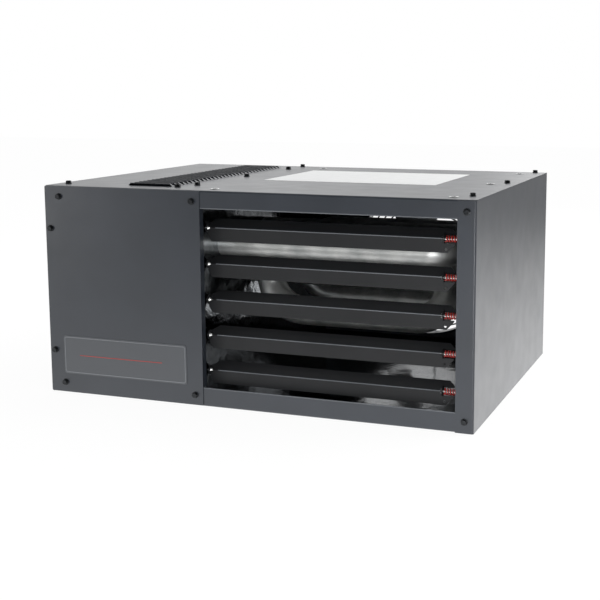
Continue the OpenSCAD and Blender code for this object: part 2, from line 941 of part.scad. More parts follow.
// A louvre in section, its fold on the pivot axis
module louvre_section() {
    circle(louvre_t / 2);
    translate([-louvre_t / 2, -louvre_lower_w]) square([louvre_t, louvre_lower_w]);
    rotate(-louvre_bend) translate([-louvre_t / 2, 0]) square([louvre_t, louvre_upper_w]);
}

// A triangle that cuts one end corner of a flange; the flange hangs down from the axis
module corner_cut(at_x, side, width, cut) {
    translate([at_x, 0, 0]) mirror([side, 0, 0]) rotate([90, 0, 0])
        translate([0, 0, -louvre_lower_w]) linear_extrude(2 * louvre_lower_w)
        polygon([[-cut[0], -width], [0, -width + cut[1]], [overrun, -width + cut[1]],
            [overrun, -width - overrun], [-cut[0], -width - overrun]]);
}

module louvre(k) {
    color("#4c4e51") translate([0, pivot_y, pivot_z(k)]) difference() {
        union() {
            difference() {
                along_x(louvre_left_x, louvre_right_x) louvre_section();
                bar_x(notch_r, notch_x, louvre_right_x + overrun, 0, 0);
                intersection() {
                    corner_cut(louvre_right_x, 0, louvre_lower_w, low_right_cut);
                    lower_side();
                }
                intersection() {
                    corner_cut(louvre_left_x, 1, louvre_lower_w, low_left_cut);
                    lower_side();
                }
                rotate([180 - louvre_bend, 0, 0]) intersection() {
                    corner_cut(louvre_right_x, 0, louvre_upper_w, up_right_cut);
                    lower_side();
                }
                rotate([180 - louvre_bend, 0, 0]) intersection() {
                    corner_cut(louvre_left_x, 1, louvre_upper_w, up_left_cut);
                    lower_side();
                }
                translate([louvre_right_x - louvre_hole_in, -louvre_t, -louvre_hole_down])
                    rotate([-90, 0, 0]) cylinder(r = louvre_hole_r, h = 2 * louvre_t);
            }
            bar_x(tab_r, notch_x, notch_x + tab_t, 0, 0);
            bar_x(tab_r, louvre_left_x, louvre_left_x + tab_t, 0, 0);
        }
        bar_x(pivot_pin_r, louvre_left_x - overrun, louvre_left_x + tab_t + overrun, 0, 0);
        bar_x(pivot_pin_r, notch_x - overrun, notch_x + tab_t + overrun, 0, 0);
        bar_x(pin_head_r + run_gap, louvre_left_x + tab_t,
            louvre_left_x + tab_t + pin_head_t + run_gap, 0, 0);
        bar_x(pin_head_r + run_gap, notch_x - pin_head_t - run_gap, notch_x, 0, 0);
    }
}

// The space close to a hanging flange, clear of the other flange
module lower_side() {
    block([louvre_left_x - 2 * overrun, -2 * louvre_t, -louvre_lower_w - 2 * overrun],
        [louvre_right_x + 2 * overrun, 2 * louvre_t, 0]);
}

module louvre_pins(k) {
    color("#d8dadb") translate([0, pivot_y, pivot_z(k)]) {
        bar_x(pivot_pin_r, partition_left_x - pin_reach, louvre_left_x + tab_t, 0, 0);
        translate([louvre_left_x + tab_t, 0, 0]) pin_head();
        bar_x(pivot_pin_r, notch_x, bracket_x + bush_len + pin_reach, 0, 0);
        translate([notch_x, 0, 0]) mirror([1, 0, 0]) pin_head();
    }
}

// A pin's conical head
module pin_head() {
    rotate([0, 90, 0]) cylinder(r1 = pin_head_r, r2 = pin_tip_r, h = pin_head_t);
}

// Points of a spring's centre line: a straight end, the turns, and a straight end
function coil_point(s) = [
    spring_start_x + spring_wire_d
        + s * (spring_end_x - spring_start_x - 2 * spring_wire_d),
    spring_r * cos(360 * spring_turns * s),
    spring_r * sin(360 * spring_turns * s)
];
coil_count = spring_turns * spring_rings;
coil_turns = [for (i = [0 : coil_count]) coil_point(i / coil_count)];
coil_points = concat(
    [coil_point(0) - [spring_wire_d, 0, 0]], coil_turns,
    [coil_point(1) + [spring_wire_d, 0, 0]]
);

// Unit vector, and the direction of a line of points at one of them
function unit(v) = v / norm(v);
function heading(p, i) = unit(p[min(i + 1, len(p) - 1)] - p[max(i - 1, 0)]);
// One ring of a swept tube, its first corner turned outwards
function ring(p, i, r, sides, outwards) =
    let (t = heading(p, i), a = unit(outwards - (outwards * t) * t), b = cross(t, a))
    [for (j = [0 : sides - 1])
        p[i] + r * cos(360 * j / sides) * a + r * sin(360 * j / sides) * b];

// A closed tube through points, with a given outward direction at each
module swept_tube(p, outwards, r, sides) {
    rings = [for (i = [0 : len(p) - 1]) each ring(p, i, r, sides, outwards[i])];
    last = (len(p) - 1) * sides;
    skin = [for (i = [0 : len(p) - 2], j = [0 : sides - 1])
        let (a = i * sides + j, b = i * sides + (j + 1) % sides)
        each [[a, b, b + sides], [a, b + sides, a + sides]]];
    first_cap = [for (j = [1 : sides - 2]) [0, j + 1, j]];
    last_cap = [for (j = [1 : sides - 2]) [last, last + j, last + j + 1]];
    polyhedron(points = rings, faces = [for (f = concat(skin, first_cap, last_cap))
        [f[2], f[1], f[0]]]);
}

// Least gap of the spring to itself, between points at least half a turn apart
spring_gap = min([for (i = [0 : coil_count], j = [0 : coil_count])
    if (j >= i + spring_rings / 2) norm(coil_turns[j] - coil_turns[i])]) - spring_wire_d;
echo(least_gap_of_the_spring_to_itself = spring_gap);

module louvre_springs() {
    color("#b02a25")
        for (k = [1 : louvre_count])
            translate([0, pivot_y, pivot_z(k)])
                swept_tube(coil_points, [for (p = coil_points) [0, p[1], p[2]]],
                    spring_wire_d / 2, spring_sides);
}

// Heat exchanger and burners

module heat_tube(place) {
    color("#b9bbbb") difference() {
        union() {
            tube_path(place, tube_r, tube_end_x);
            for (pass = [[0, 0], [last_pass_back, pass_rise]])
                bar_x(tube_r + tube_seat_w, partition_left_x - tube_seat_t, partition_left_x,
                    front_y + place + pass[0], first_pass_z - pass[1]);
        }
        tube_path(place, tube_r - tube_wall, tube_end_x - overrun);
    }
}

// A burner from its air bell to its round head, turned along +X
module burner(place) {
    neck = burner_bell_len;
    throat = burner_bell_len + burner_taper_len / 2;
    head = burner_len - burner_head_len;
    color("#9d9fa0") translate([burner_back_x, front_y + place, burner_z])
        rotate([0, 90, 0]) rotate_extrude() polygon([
            [burner_bell_r, 0], [burner_bell_r, burner_wall],
            [burner_throat_r, neck], [burner_throat_r, throat],
            [burner_head_r, head], [burner_head_r, burner_len],
            [burner_head_r - burner_wall, burner_len],
            [burner_head_r - burner_wall, head],
            [burner_throat_r - burner_wall, throat],
            [burner_throat_r - burner_wall, neck],
            [burner_bell_r - burner_wall, 0]
        ]);
}

module burner_bracket() {
    hold_r = burner_head_r + run_gap;
    color("#a9abac") difference() {
        union() {
            block([carrier_x, carrier_front_y, tray_z],
                [carrier_x + sheet_t, carrier_rear_y, carrier_top_z]);
            block([carrier_x, carrier_front_y, carrier_top_z - sheet_t],
                [partition_left_x, carrier_rear_y, carrier_top_z]);
            block([manifold_x - sheet_t / 2, carrier_front_y, tray_z],
                [carrier_x + sheet_t, carrier_rear_y, tray_top_z]);
            block([manifold_x - sheet_t / 2, carrier_front_y, tray_z],
                [manifold_x + sheet_t / 2, carrier_rear_y,
                    burner_z - manifold_r - seat_gap]);
        }
        for (place = tube_places)
            bar_x(hold_r, carrier_x - overrun, carrier_x + sheet_t + overrun,
                front_y + place, burner_z);
        for (y = [igniter_y, sensor_y])
            bar_x(electrode_hole_r, carrier_x - overrun, carrier_x + sheet_t + overrun,
                y, burner_z);
    }
}

module gas_manifold() {
    color("#2c2e30") difference() {
        bar_y(manifold_r, manifold_front_y, manifold_rear_y, manifold_x, burner_z);
        bar_y(manifold_r - manifold_wall, manifold_front_y + manifold_wall,
            manifold_rear_y + overrun, manifold_x, burner_z);
        for (place = tube_places)
            bar_x(orifice_tip_r, manifold_x, manifold_x + manifold_r + overrun,
                front_y + place, burner_z);
    }
}

module gas_orifices() {
    start = manifold_x + manifold_r;
    color("#c8a24a")
        for (place = tube_places)
            difference() {
                union() {
                    bar_x(orifice_tip_r, start - orifice_root, start + orifice_len,
                        front_y + place, burner_z);
                    translate([start, front_y + place, burner_z]) rotate([0, 90, 0])
                        cylinder(r = orifice_hex_r, h = orifice_hex_len, $fn = 6);
                }
                bar_x(orifice_bore_r, start - orifice_root - overrun,
                    start + orifice_len + overrun, front_y + place, burner_z);
            }
}

module gas_valve() {
    x = manifold_x;
    low_z = burner_z - valve_h / 2;
    color("#9a9c9d") difference() {
        union() {
            translate([x - valve_w / 2, valve_front_y, low_z]) linear_extrude(valve_h)
                rounded_square(valve_w, valve_len, valve_round);
            bar_y(valve_neck_r, manifold_rear_y, valve_front_y + overrun, x, burner_z);
            bar_y(valve_neck_r, valve_rear_y - overrun, valve_rear_y + valve_neck_len,
                x, burner_z);
            bar_z(valve_tower_r, valve_top_z - overrun, valve_top_z + valve_tower_h, x,
                valve_front_y + valve_tower_share * valve_len);
            bar_z(knob_skirt_r, valve_top_z - overrun, valve_top_z + knob_skirt_h, x, knob_y);
        }
        bar_z(knob_stem_r + run_gap, valve_top_z - knob_stem_len,
            valve_top_z + knob_skirt_h + overrun, x, knob_y);
    }
}

module gas_valve_knob() {
    base_z = valve_top_z + knob_skirt_h + knob_lift;
    color("#c23a30") {
        bar_z(knob_stem_r, valve_top_z - knob_stem_len + knob_lift, base_z + knob_lift,
            manifold_x, knob_y);
        bar_z(knob_r, base_z, base_z + knob_skirt_h, manifold_x, knob_y);
        intersection() {
            bar_z(knob_r, base_z, base_z + knob_h, manifold_x, knob_y);
            block([manifold_x - knob_grip_w / 2, knob_y - knob_r, base_z],
                [manifold_x + knob_grip_w / 2, knob_y + knob_r, base_z + knob_h]);
        }
    }
}

module gas_inlet_pipe() {
    start_y = valve_rear_y + valve_neck_len;
    end_y = rear_y + pipe_reach;
    color("#2c2e30") difference() {
        union() {
            bar_y(pipe_r, start_y, end_y, pipe_x, pipe_z);
            bar_y(socket_r, end_y - socket_len, end_y, pipe_x, pipe_z);
        }
        bar_y(pipe_r - pipe_wall, start_y - overrun, end_y - gas_bore_len + overrun,
            pipe_x, pipe_z);
        bar_y(gas_bore_r, end_y - gas_bore_len, end_y + overrun, pipe_x, pipe_z);
    }
}

module pipe_bushing() {
    groove_y = rear_y - sheet_t - sheet_gap / 2;
    middle_y = rear_y - sheet_t / 2;
    color("#1c1d1f") difference() {
        bar_y(bushing_r, middle_y - bushing_t / 2, middle_y + bushing_t / 2, pipe_x, pipe_z);
        difference() {
            bar_y(bushing_r + overrun, groove_y, groove_y + bushing_groove, pipe_x, pipe_z);
            bar_y(gas_hole_r - run_gap, groove_y - overrun,
                groove_y + bushing_groove + overrun, pipe_x, pipe_z);
        }
        bar_y(socket_r + run_gap, middle_y - bushing_t, middle_y + bushing_t, pipe_x, pipe_z);
    }
}

// An electrode in its ceramic, held by a small plate on the burner bracket
module electrode(y) {
    tip_x = carrier_x + ceramic_ahead;
    plate_x = carrier_x - electrode_plate_t;
    bar_x(ceramic_r, tip_x - ceramic_len, tip_x, y, burner_z);
    bar_x(electrode_r, tip_x - ceramic_len - electrode_len / 2, tip_x + electrode_len,
        y, burner_z);
    block([plate_x, y - electrode_plate_h / 2, burner_z - electrode_plate_w / 2],
        [carrier_x, y + electrode_plate_h / 2, burner_z + electrode_plate_w / 2]);
}

module igniter() {
    color("#e6e3da") electrode(igniter_y);
}

module flame_sensor() {
    color("#dcdcd8") electrode(sensor_y);
}

// Flue gas path

module flue_collector() {
    lip = collector_lip;
    inner_x = partition_left_x + overrun;
    front_lip_y = collector_front_y - lip;
    rear_lip_y = collector_rear_y + lip;
    color("#b2b4b4") difference() {
        union() {
            block([collector_x, collector_front_y, collector_low_z],
                [partition_left_x - seat_gap, collector_rear_y, collector_top_z]);
            block([partition_left_x - seat_gap - sheet_t, front_lip_y, collector_low_z - lip],
                [partition_left_x - seat_gap, rear_lip_y, collector_top_z]);
        }
        block([collector_x + sheet_t, collector_front_y + sheet_t, collector_low_z + sheet_t],
            [inner_x, collector_rear_y - sheet_t, collector_top_z - sheet_t]);
        bar_x(inducer_inlet_r + run_gap, collector_x - overrun,
            collector_x + sheet_t + overrun, inducer_y, inducer_z);
    }
}

// Points of the volute's outline in depth and height, starting above its outlet
function volute_radius(s) = volute_start_r + volute_growth * s;
function volute_outline(shrink) = concat(
    [for (i = [0 : volute_steps])
        let (a = 90 + 180 * i / volute_steps, r = volute_radius(i / volute_steps) - shrink)
        [r * cos(a), r * sin(a)]],
    [[outlet_reach, -volute_radius(1) + shrink],
     [outlet_reach, outlet_low_z + outlet_h - inducer_z - shrink]],
    [for (i = [0 : volute_steps / 2])
        let (a = volute_close * i / (volute_steps / 2), r = volute_start_r - shrink)
        [r * cos(a), r * sin(a)]]
);

module volute(shrink, from_x, to_x) {
    translate([from_x, inducer_y, inducer_z]) rotate([90, 0, 90])
        linear_extrude(to_x - from_x) polygon(volute_outline(shrink));
}

module inducer_housing() {
    color("#3a3c3e") difference() {
        union() {
            volute(0, volute_left_x, volute_right_x);
            bar_x(inducer_inlet_r, volute_right_x - overrun, collector_x + sheet_t,
                inducer_y, inducer_z);
            bar_x(tap_r, volute_left_x - tap_len, volute_left_x + overrun,
                inducer_y + tap_back, inducer_z + tap_up);
        }
        volute(volute_wall, volute_left_x + volute_wall, volute_right_x - volute_wall);
        block([volute_left_x + volute_wall, inducer_y + outlet_reach - 2 * overrun,
            outlet_low_z + volute_wall], [volute_right_x - volute_wall,
            inducer_y + outlet_reach + overrun, outlet_low_z + outlet_h - volute_wall]);
        bar_x(inducer_inlet_r - volute_wall, volute_right_x - 2 * volute_wall,
            collector_x + sheet_t + overrun, inducer_y, inducer_z);
        bar_x(inducer_motor_neck_r + run_gap, volute_left_x - overrun,
            volute_left_x + volute_wall + overrun, inducer_y, inducer_z);
    }
}

module inducer_wheel() {
    start_x = volute_left_x + volute_wall + wheel_side_gap;
    color("#c4c6c7") {
        bar_x(wheel_r, start_x, start_x + wheel_plate_t, inducer_y, inducer_z);
        bar_x(wheel_hub_r, start_x, start_x + wheel_hub_len, inducer_y, inducer_z);
        bar_x(wheel_shaft_r, volute_left_x - inducer_bore_len, start_x + overrun,
            inducer_y, inducer_z);
        difference() {
            bar_x(wheel_r, start_x + wheel_w - wheel_plate_t, start_x + wheel_w,
                inducer_y, inducer_z);
            bar_x(wheel_eye_r, start_x + wheel_w - wheel_plate_t - overrun,
                start_x + wheel_w + overrun, inducer_y, inducer_z);
        }
        for (n = [0 : wheel_blades - 1])
            translate([start_x, inducer_y, inducer_z]) rotate([n * 360 / wheel_blades, 0, 0])
                block([0, wheel_eye_r + overrun, -wheel_blade_t / 2],
                    [wheel_w, wheel_r - wheel_blade_t / 2, wheel_blade_t / 2]);
    }
}

module inducer_motor() {
    face_x = volute_left_x - seat_gap;
    can_x = face_x - inducer_motor_neck;
    color("#2f3133") difference() {
        union() {
            bar_x(inducer_motor_neck_r, can_x - overrun, volute_left_x + volute_wall,
                inducer_y, inducer_z);
            bar_x(inducer_motor_r, can_x - inducer_motor_len, can_x, inducer_y, inducer_z);
            for (n = [0 : inducer_foot_count - 1])
                translate([can_x, inducer_y, inducer_z])
                    rotate([n * 360 / inducer_foot_count + 90, 0, 0])
                    motor_foot();
        }
        bar_x(wheel_shaft_r + run_gap, volute_left_x - inducer_bore_len - overrun,
            volute_left_x + volute_wall + overrun, inducer_y, inducer_z);
    }
}

// A strap from the motor can to the volute
module motor_foot() {
    block([-inducer_foot_t, 0, -wheel_hub_r / 2], [0, inducer_foot_r, wheel_hub_r / 2]);
    block([-inducer_foot_t, inducer_foot_r - inducer_foot_t, -wheel_hub_r / 2],
        [inducer_motor_neck, inducer_foot_r, wheel_hub_r / 2]);
}

module flue_duct() {
    half = volute_w / 2 + duct_flange;
    mid_z = outlet_mid_z;
    color("#b7b9b9") difference() {
        union() {
            block([volute_mid_x - half, duct_y, mid_z - outlet_h / 2 - duct_flange],
                [volute_mid_x + half, duct_y + duct_flange_t,
                    mid_z + outlet_h / 2 + duct_flange]);
            bar_y(duct_r, duct_y, collar_y + overrun, volute_mid_x, mid_z);
            bar_y(flue_r, collar_y, collar_end_y, volute_mid_x, mid_z);
        }
        bar_y(duct_r - duct_wall, duct_y + duct_flange_t, collar_y + 2 * overrun,
            volute_mid_x, mid_z);
        bar_y(flue_r - duct_wall, collar_y + duct_wall, collar_end_y + overrun,
            volute_mid_x, mid_z);
        block([volute_left_x + volute_wall, duct_y - overrun, outlet_low_z + volute_wall],
            [volute_right_x - volute_wall, duct_y + 2 * duct_flange_t,
                outlet_low_z + outlet_h - volute_wall]);
    }
}

module pressure_switch() {
    wall_x = left_x + sheet_t;
    body_x = wall_x + switch_cap_t;
    rim_x = body_x + switch_body_t;
    color("#3b4a63") {
        bar_x(switch_cap_r, wall_x, rim_x - switch_rim_t, switch_y, switch_z);
        bar_x(switch_r, body_x, rim_x - switch_rim_t, switch_y, switch_z);
        bar_x(switch_r - switch_rim_t, rim_x - 2 * switch_rim_t, rim_x, switch_y, switch_z);
        bar_x(switch_port_r, rim_x - overrun, rim_x + switch_port_len, switch_y, switch_z);
    }
}

// Centre line of the hose: a smooth curve from the switch's port to the inducer's tap
hose_from = [left_x + sheet_t + switch_cap_t + switch_body_t + seat_gap, switch_y, switch_z];
hose_to = [volute_left_x - seat_gap, inducer_y + tap_back, inducer_z + tap_up];
hose_lead = 40;
function bezier(a, b, c, d, s) =
    a * pow(1 - s, 3) + 3 * b * s * pow(1 - s, 2) + 3 * c * s * s * (1 - s) + d * pow(s, 3);
hose_line = concat(
    [hose_from],
    [for (i = [0 : hose_rings]) bezier(hose_from + [2 * hose_r, 0, 0],
        hose_from + [hose_lead, 0, 0], hose_to - [hose_lead, 0, 0],
        hose_to - [2 * hose_r, 0, 0], i / hose_rings)],
    [hose_to]
);

module pressure_hose() {
    up = [for (p = hose_line) [0, 0, 1]];
    color("#4a4b4d") difference() {
        swept_tube(hose_line, up, hose_r, hose_sides);
        bar_x(switch_port_r + run_gap, hose_from[0] - overrun,
            hose_from[0] + switch_port_len + seat_gap, switch_y, switch_z);
        bar_x(tap_r + run_gap, hose_to[0] - tap_len - seat_gap, hose_to[0] + overrun,
            hose_to[1], hose_to[2]);
    }
}

// Controls

board_y = front_y + board_back;

module control_board() {
    x = board_x + board_t;
    color("#2f6b46") {
        block([board_x, board_y, board_up], [x, board_y + board_w, board_up + board_h]);
        for (n = [0 : relay_count - 1])
            translate([x - board_t / 2, board_y + board_item_in + n * relay_pitch,
                board_up + board_h - board_item_in - relay_size[2]])
                cube(relay_size);
        translate([x - board_t / 2, board_y + board_item_in, board_up + spacer_in])
            cube(block_size);
        translate([x - board_t / 2, board_y + board_w - board_item_in - chip_size[1],
            board_up + board_h / 2 - chip_size[2]]) cube(chip_size);
        bar_x(capacitor_r, x - board_t / 2, x + capacitor_len,
            board_y + board_w - board_item_in - capacitor_r, board_up + board_h - board_item_in
            - capacitor_r);
    }
}

module board_spacers() {
    color("#e8e8e6")
        for (y = [board_y + spacer_in, board_y + board_w - spacer_in])
            for (z = [board_up + spacer_in, board_up + board_h - spacer_in])
                bar_x(spacer_r, left_x + sheet_t, board_x, y, z);
}

module transformer() {
    x = left_x + transformer_in;
    y = front_y + transformer_back;
    color("#6f6a60") {
        block([x - (foot_w - core_w) / 2, y, sheet_t],
            [x + (foot_w + core_w) / 2, y + core_d, sheet_t + foot_t]);
        block([x, y, sheet_t], [x + core_w, y + core_d, sheet_t + core_h]);
        block([x + (core_w - coil_w) / 2, y - (coil_d - core_d) / 2,
            sheet_t + (core_h - coil_h) / 2], [x + (core_w + coil_w) / 2,
            y + (coil_d + core_d) / 2, sheet_t + (core_h + coil_h) / 2]);
    }
}

module junction_box() {
    x = left_x + box_in;
    color("#a9abac") difference() {
        block([x, box_front_y, box_up], [x + box_w, box_front_y + box_d, box_up + box_h]);
        block([x + box_wall, box_front_y - overrun, box_up + box_wall],
            [x + box_w - box_wall, box_front_y + box_d - box_wall,
                box_up + box_h - box_wall]);
        bar_y(knockout_r, box_front_y + box_d - box_wall - overrun,
            box_front_y + box_d + overrun, knockout_x, knockout_z);
    }
}

module limit_switch() {
    face_x = partition_left_x - limit_plate_t;
    color("#26282a") {
        bar_x(limit_r, face_x - limit_len, partition_right_x + limit_probe, limit_y, limit_z);
        block([face_x, limit_y - limit_plate_w / 2, limit_z - limit_plate_h / 2],
            [partition_left_x, limit_y + limit_plate_w / 2, limit_z + limit_plate_h / 2]);
        for (side = [-1, 1])
            translate([face_x - limit_len - limit_blade[0],
                limit_y + side * limit_r / 2 - limit_blade[1] / 2, limit_z - limit_blade[2] / 2])
                cube([limit_blade[0] + overrun, limit_blade[1], limit_blade[2]]);
    }
}

module rollout_switch() {
    face_x = carrier_x - rollout_plate_t;
    color("#26282a") difference() {
        union() {
            bar_x(rollout_r, face_x - rollout_len, carrier_x, rollout_y, burner_z);
            block([face_x, rollout_y - rollout_plate_w / 2, burner_z - rollout_plate_h / 2],
                [carrier_x, rollout_y + rollout_plate_w / 2, burner_z + rollout_plate_h / 2]);
        }
        bar_x(button_r + run_gap, face_x - rollout_len - overrun,
            face_x - rollout_len + rollout_bore, rollout_y, burner_z);
    }
}

module reset_button() {
    start_x = carrier_x - rollout_plate_t - rollout_len;
    head_x = start_x - button_travel - seat_gap;
    color("#c23a30") {
        bar_x(button_r, head_x, start_x + button_in, rollout_y, burner_z);
        bar_x(button_head_r, head_x - button_head_t, head_x, rollout_y, burner_z);
    }
}

// Fan

module fan_motor() {
    color("#33363a") difference() {
        translate([fan_x, motor_rear_y, fan_z]) rotate([90, 0, 0]) rotate_extrude()
            motor_outline();
        bar_y(shaft_r + run_gap, motor_front_y - overrun, motor_front_y + shaft_in + overrun,
            fan_x, fan_z);
        for (n = [0 : motor_slots - 1])
            translate([fan_x, motor_rear_y - motor_len / 2, fan_z])
                rotate([0, n * 360 / motor_slots, 0])
                block([motor_r - motor_slot_d, -motor_slot_len / 2, -motor_slot_w / 2],
                    [motor_r + overrun, motor_slot_len / 2, motor_slot_w / 2]);
    }
}

// Half of the motor's section: radius across, length up
module motor_outline() {
    square([motor_r - motor_round, motor_len]);
    translate([0, motor_round]) square([motor_r, motor_len - 2 * motor_round]);
    for (y = [motor_round, motor_len - motor_round])
        translate([motor_r - motor_round, y]) circle(motor_round);
}

module fan_shaft() {
    color("#d0d2d3")
        bar_y(shaft_r, shaft_front_y, motor_front_y + shaft_in, fan_x, fan_z);
}

// One blade: a slice of a large cylinder's wall inside the blade's outline, set at its pitch
module fan_blade() {
    root_r = hub_r * blade_root_share;
    chord = blade_chord_share * PI * propeller_r / blade_count;
    intersection() {
        bar_y(propeller_r, -chord, chord, 0, 0);
        rotate([blade_pitch - 90, 0, 0]) intersection() {
            translate([root_r, 0, 0]) difference() {
                translate([0, 0, -blade_camber_r]) rotate([0, 90, 0])
                    cylinder(r = blade_camber_r + blade_t / 2, h = propeller_r);
                translate([-overrun, 0, -blade_camber_r]) rotate([0, 90, 0])
                    cylinder(r = blade_camber_r - blade_t / 2, h = propeller_r + 2 * overrun);
            }
            translate([0, 0, -chord / 2]) linear_extrude(chord) polygon([
                [root_r, -hub_r / 2],
                [propeller_r * blade_belly_share, -chord / 2],
                [propeller_r, -chord / 2],
                [propeller_r + overrun, chord * blade_lead_share],
                [propeller_r * blade_tip_share, chord / 2],
                [propeller_r * blade_belly_share, chord * blade_tail_share],
                [root_r, hub_r / 2]
            ]);
        }
    }
}

module propeller() {
    mid_y = propeller_y + hub_boss_len / 2;
    color("#b4b6b8") difference() {
        union() {
            bar_y(hub_r, mid_y - hub_t / 2, mid_y + hub_t / 2, fan_x, fan_z);
            bar_y(hub_boss_r, propeller_y, propeller_y + hub_boss_len, fan_x, fan_z);
            for (n = [0 : blade_count - 1])
                translate([fan_x, mid_y, fan_z]) rotate([0, n * 360 / blade_count + blade_turn, 0])
                    fan_blade();
        }
        bar_y(shaft_r, propeller_y - overrun, propeller_y + hub_boss_len + overrun,
            fan_x, fan_z);
    }
}

// A wire ring of eight sides around the fan's axis
module guard_ring(r, y) {
    translate([fan_x, y, fan_z]) rotate([90, 0, 0]) rotate_extrude()
        translate([r, 0]) circle(guard_wire_r, $fn = 8);
}

module fan_guard() {
    step = (guard_outer_r - guard_inner_r) / (guard_rings - 1);
    spoke_y = guard_y - guard_wire_r;
    leg_y = rear_y + guard_foot_t / 2;
    color("#2a2c2e") difference() {
        union() {
            for (n = [0 : guard_rings - 1]) guard_ring(guard_inner_r + n * step, guard_y);
            guard_ring(guard_outer_r, leg_y + guard_wire_r);
            bar_y(guard_plate_r, motor_rear_y, motor_rear_y + guard_plate_t, fan_x, fan_z);
            for (n = [0 : guard_spokes - 1])
                translate([fan_x, 0, fan_z]) rotate([0, n * 360 / guard_spokes, 0]) {
                    block([guard_plate_r - 2 * guard_wire_r, spoke_y - guard_wire_r,
                        -guard_wire_r], [guard_outer_r + guard_wire_r / 2,
                        spoke_y + guard_wire_r, guard_wire_r]);
                    block([guard_outer_r - guard_wire_r, leg_y, -guard_wire_r],
                        [guard_outer_r + guard_wire_r / 2, spoke_y, guard_wire_r]);
                }
            for (n = [0 : guard_feet - 1])
                translate([fan_x, 0, fan_z])
                    rotate([0, n * 360 / guard_feet + guard_turn, 0])
                    guard_foot();
        }
        for (n = [0 : guard_feet - 1])
            translate([fan_x, rear_y, fan_z])
                rotate([0, n * 360 / guard_feet + guard_turn, 0])
                bar_y(screw_hole_r, -overrun, guard_foot_t + overrun, guard_foot_at, 0);
    }
}

// A flat foot at the guard's rim
module guard_foot() {
    bar_y(guard_foot_r, rear_y, rear_y + guard_foot_t, guard_foot_at, 0);
    block([guard_outer_r - guard_wire_r, rear_y, -guard_foot_r / 2],
        [guard_foot_at, rear_y + guard_foot_t, guard_foot_r / 2]);
}

module guard_screws() {
    color("#202224")
        for (n = [0 : guard_feet - 1])
            translate([fan_x, rear_y + guard_foot_t, fan_z])
                rotate([0, n * 360 / guard_feet + guard_turn, 0])
                translate([guard_foot_at, 0, 0]) rotate([-90, 0, 0]) hex_screw();
}

bottom_pan();
left_panel();
right_panel();
rear_panel();
fan_venturi();
partition();
top_panel();
access_panel();
nameplate();
top_screws();
front_screws();
hanging_inserts();
louvre_bracket();
louvre_springs();
louvre(1);  // louvre_1
louvre(2);  // louvre_2
louvre(3);  // louvre_3
louvre(4);  // louvre_4
louvre(5);  // louvre_5
louvre_pins(1);  // louvre_pins_1
louvre_pins(2);  // louvre_pins_2
louvre_pins(3);  // louvre_pins_3
louvre_pins(4);  // louvre_pins_4
louvre_pins(5);  // louvre_pins_5
heat_tube(tube_places[0]);  // front_heat_tube
heat_tube(tube_places[1]);  // rear_heat_tube
burner(tube_places[0]);  // front_burner
burner(tube_places[1]);  // rear_burner
burner_bracket();
gas_manifold();
gas_orifices();
gas_valve();
gas_valve_knob();
gas_inlet_pipe();
pipe_bushing();
igniter();
flame_sensor();
flue_collector();
inducer_housing();
inducer_wheel();
inducer_motor();
flue_duct();
pressure_switch();
pressure_hose();
control_board();
board_spacers();
transformer();
junction_box();
limit_switch();
rollout_switch();
reset_button();
fan_motor();
fan_shaft();
propeller();
fan_guard();
guard_screws();
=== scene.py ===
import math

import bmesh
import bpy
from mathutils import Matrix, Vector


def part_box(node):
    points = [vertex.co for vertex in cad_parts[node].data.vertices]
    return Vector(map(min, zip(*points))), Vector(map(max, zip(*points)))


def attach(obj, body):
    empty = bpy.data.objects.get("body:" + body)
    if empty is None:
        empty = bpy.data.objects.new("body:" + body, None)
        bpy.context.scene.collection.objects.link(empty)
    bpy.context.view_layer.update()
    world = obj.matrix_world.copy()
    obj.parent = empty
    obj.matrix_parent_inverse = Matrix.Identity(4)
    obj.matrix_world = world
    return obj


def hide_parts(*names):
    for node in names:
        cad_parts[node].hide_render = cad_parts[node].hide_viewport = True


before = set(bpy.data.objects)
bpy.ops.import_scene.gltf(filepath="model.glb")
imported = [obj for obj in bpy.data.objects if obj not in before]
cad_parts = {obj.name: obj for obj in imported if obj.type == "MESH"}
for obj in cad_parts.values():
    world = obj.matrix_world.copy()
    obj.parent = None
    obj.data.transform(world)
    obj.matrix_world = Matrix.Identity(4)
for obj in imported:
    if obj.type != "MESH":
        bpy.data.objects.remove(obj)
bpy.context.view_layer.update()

# %% [markdown]
# # Gas unit heater
# A low sheet steel cabinet that hangs under a garage ceiling. A fan at the back pushes room air
# over heat exchanger tubes, and five louvres at the front throw the warm air into the room.
# The solids come from the CAD frame, in metres, so this lesson is about finishes, light and the
# small pieces that a solid model leaves out: screw heads, coils, the label and the plate's trim.

MM = 0.001

# %% [markdown]
# ## Camera
# The photograph was taken from the right of the louvres, a little above the cabinet. The place
# and the angles come from fitting a pinhole camera to the cabinet's corners. The lens shift
# stands for the crop: the axis of the lens isn't at the middle of the picture.

# %% Camera
SENSOR_MM = 36
LENS_MM = 67.92
SHIFT_X, SHIFT_Y = -0.1103, -0.0806
CAMERA_PLACE = (0.7038, -1.7190, 0.4771)
CAMERA_DOWN, CAMERA_TURN = 0.146857, 0.340912
camera_data = bpy.data.cameras.new("photo_camera")
camera_data.sensor_width = SENSOR_MM
camera_data.lens = LENS_MM
camera_data.shift_x = SHIFT_X
camera_data.shift_y = SHIFT_Y
camera = bpy.data.objects.new("photo_camera", camera_data)
camera.location = CAMERA_PLACE
camera.rotation_euler = (math.pi / 2 - CAMERA_DOWN, 0, CAMERA_TURN)
bpy.context.scene.collection.objects.link(camera)
bpy.context.scene.camera = camera
print("camera at", tuple(round(v, 3) for v in camera.location))

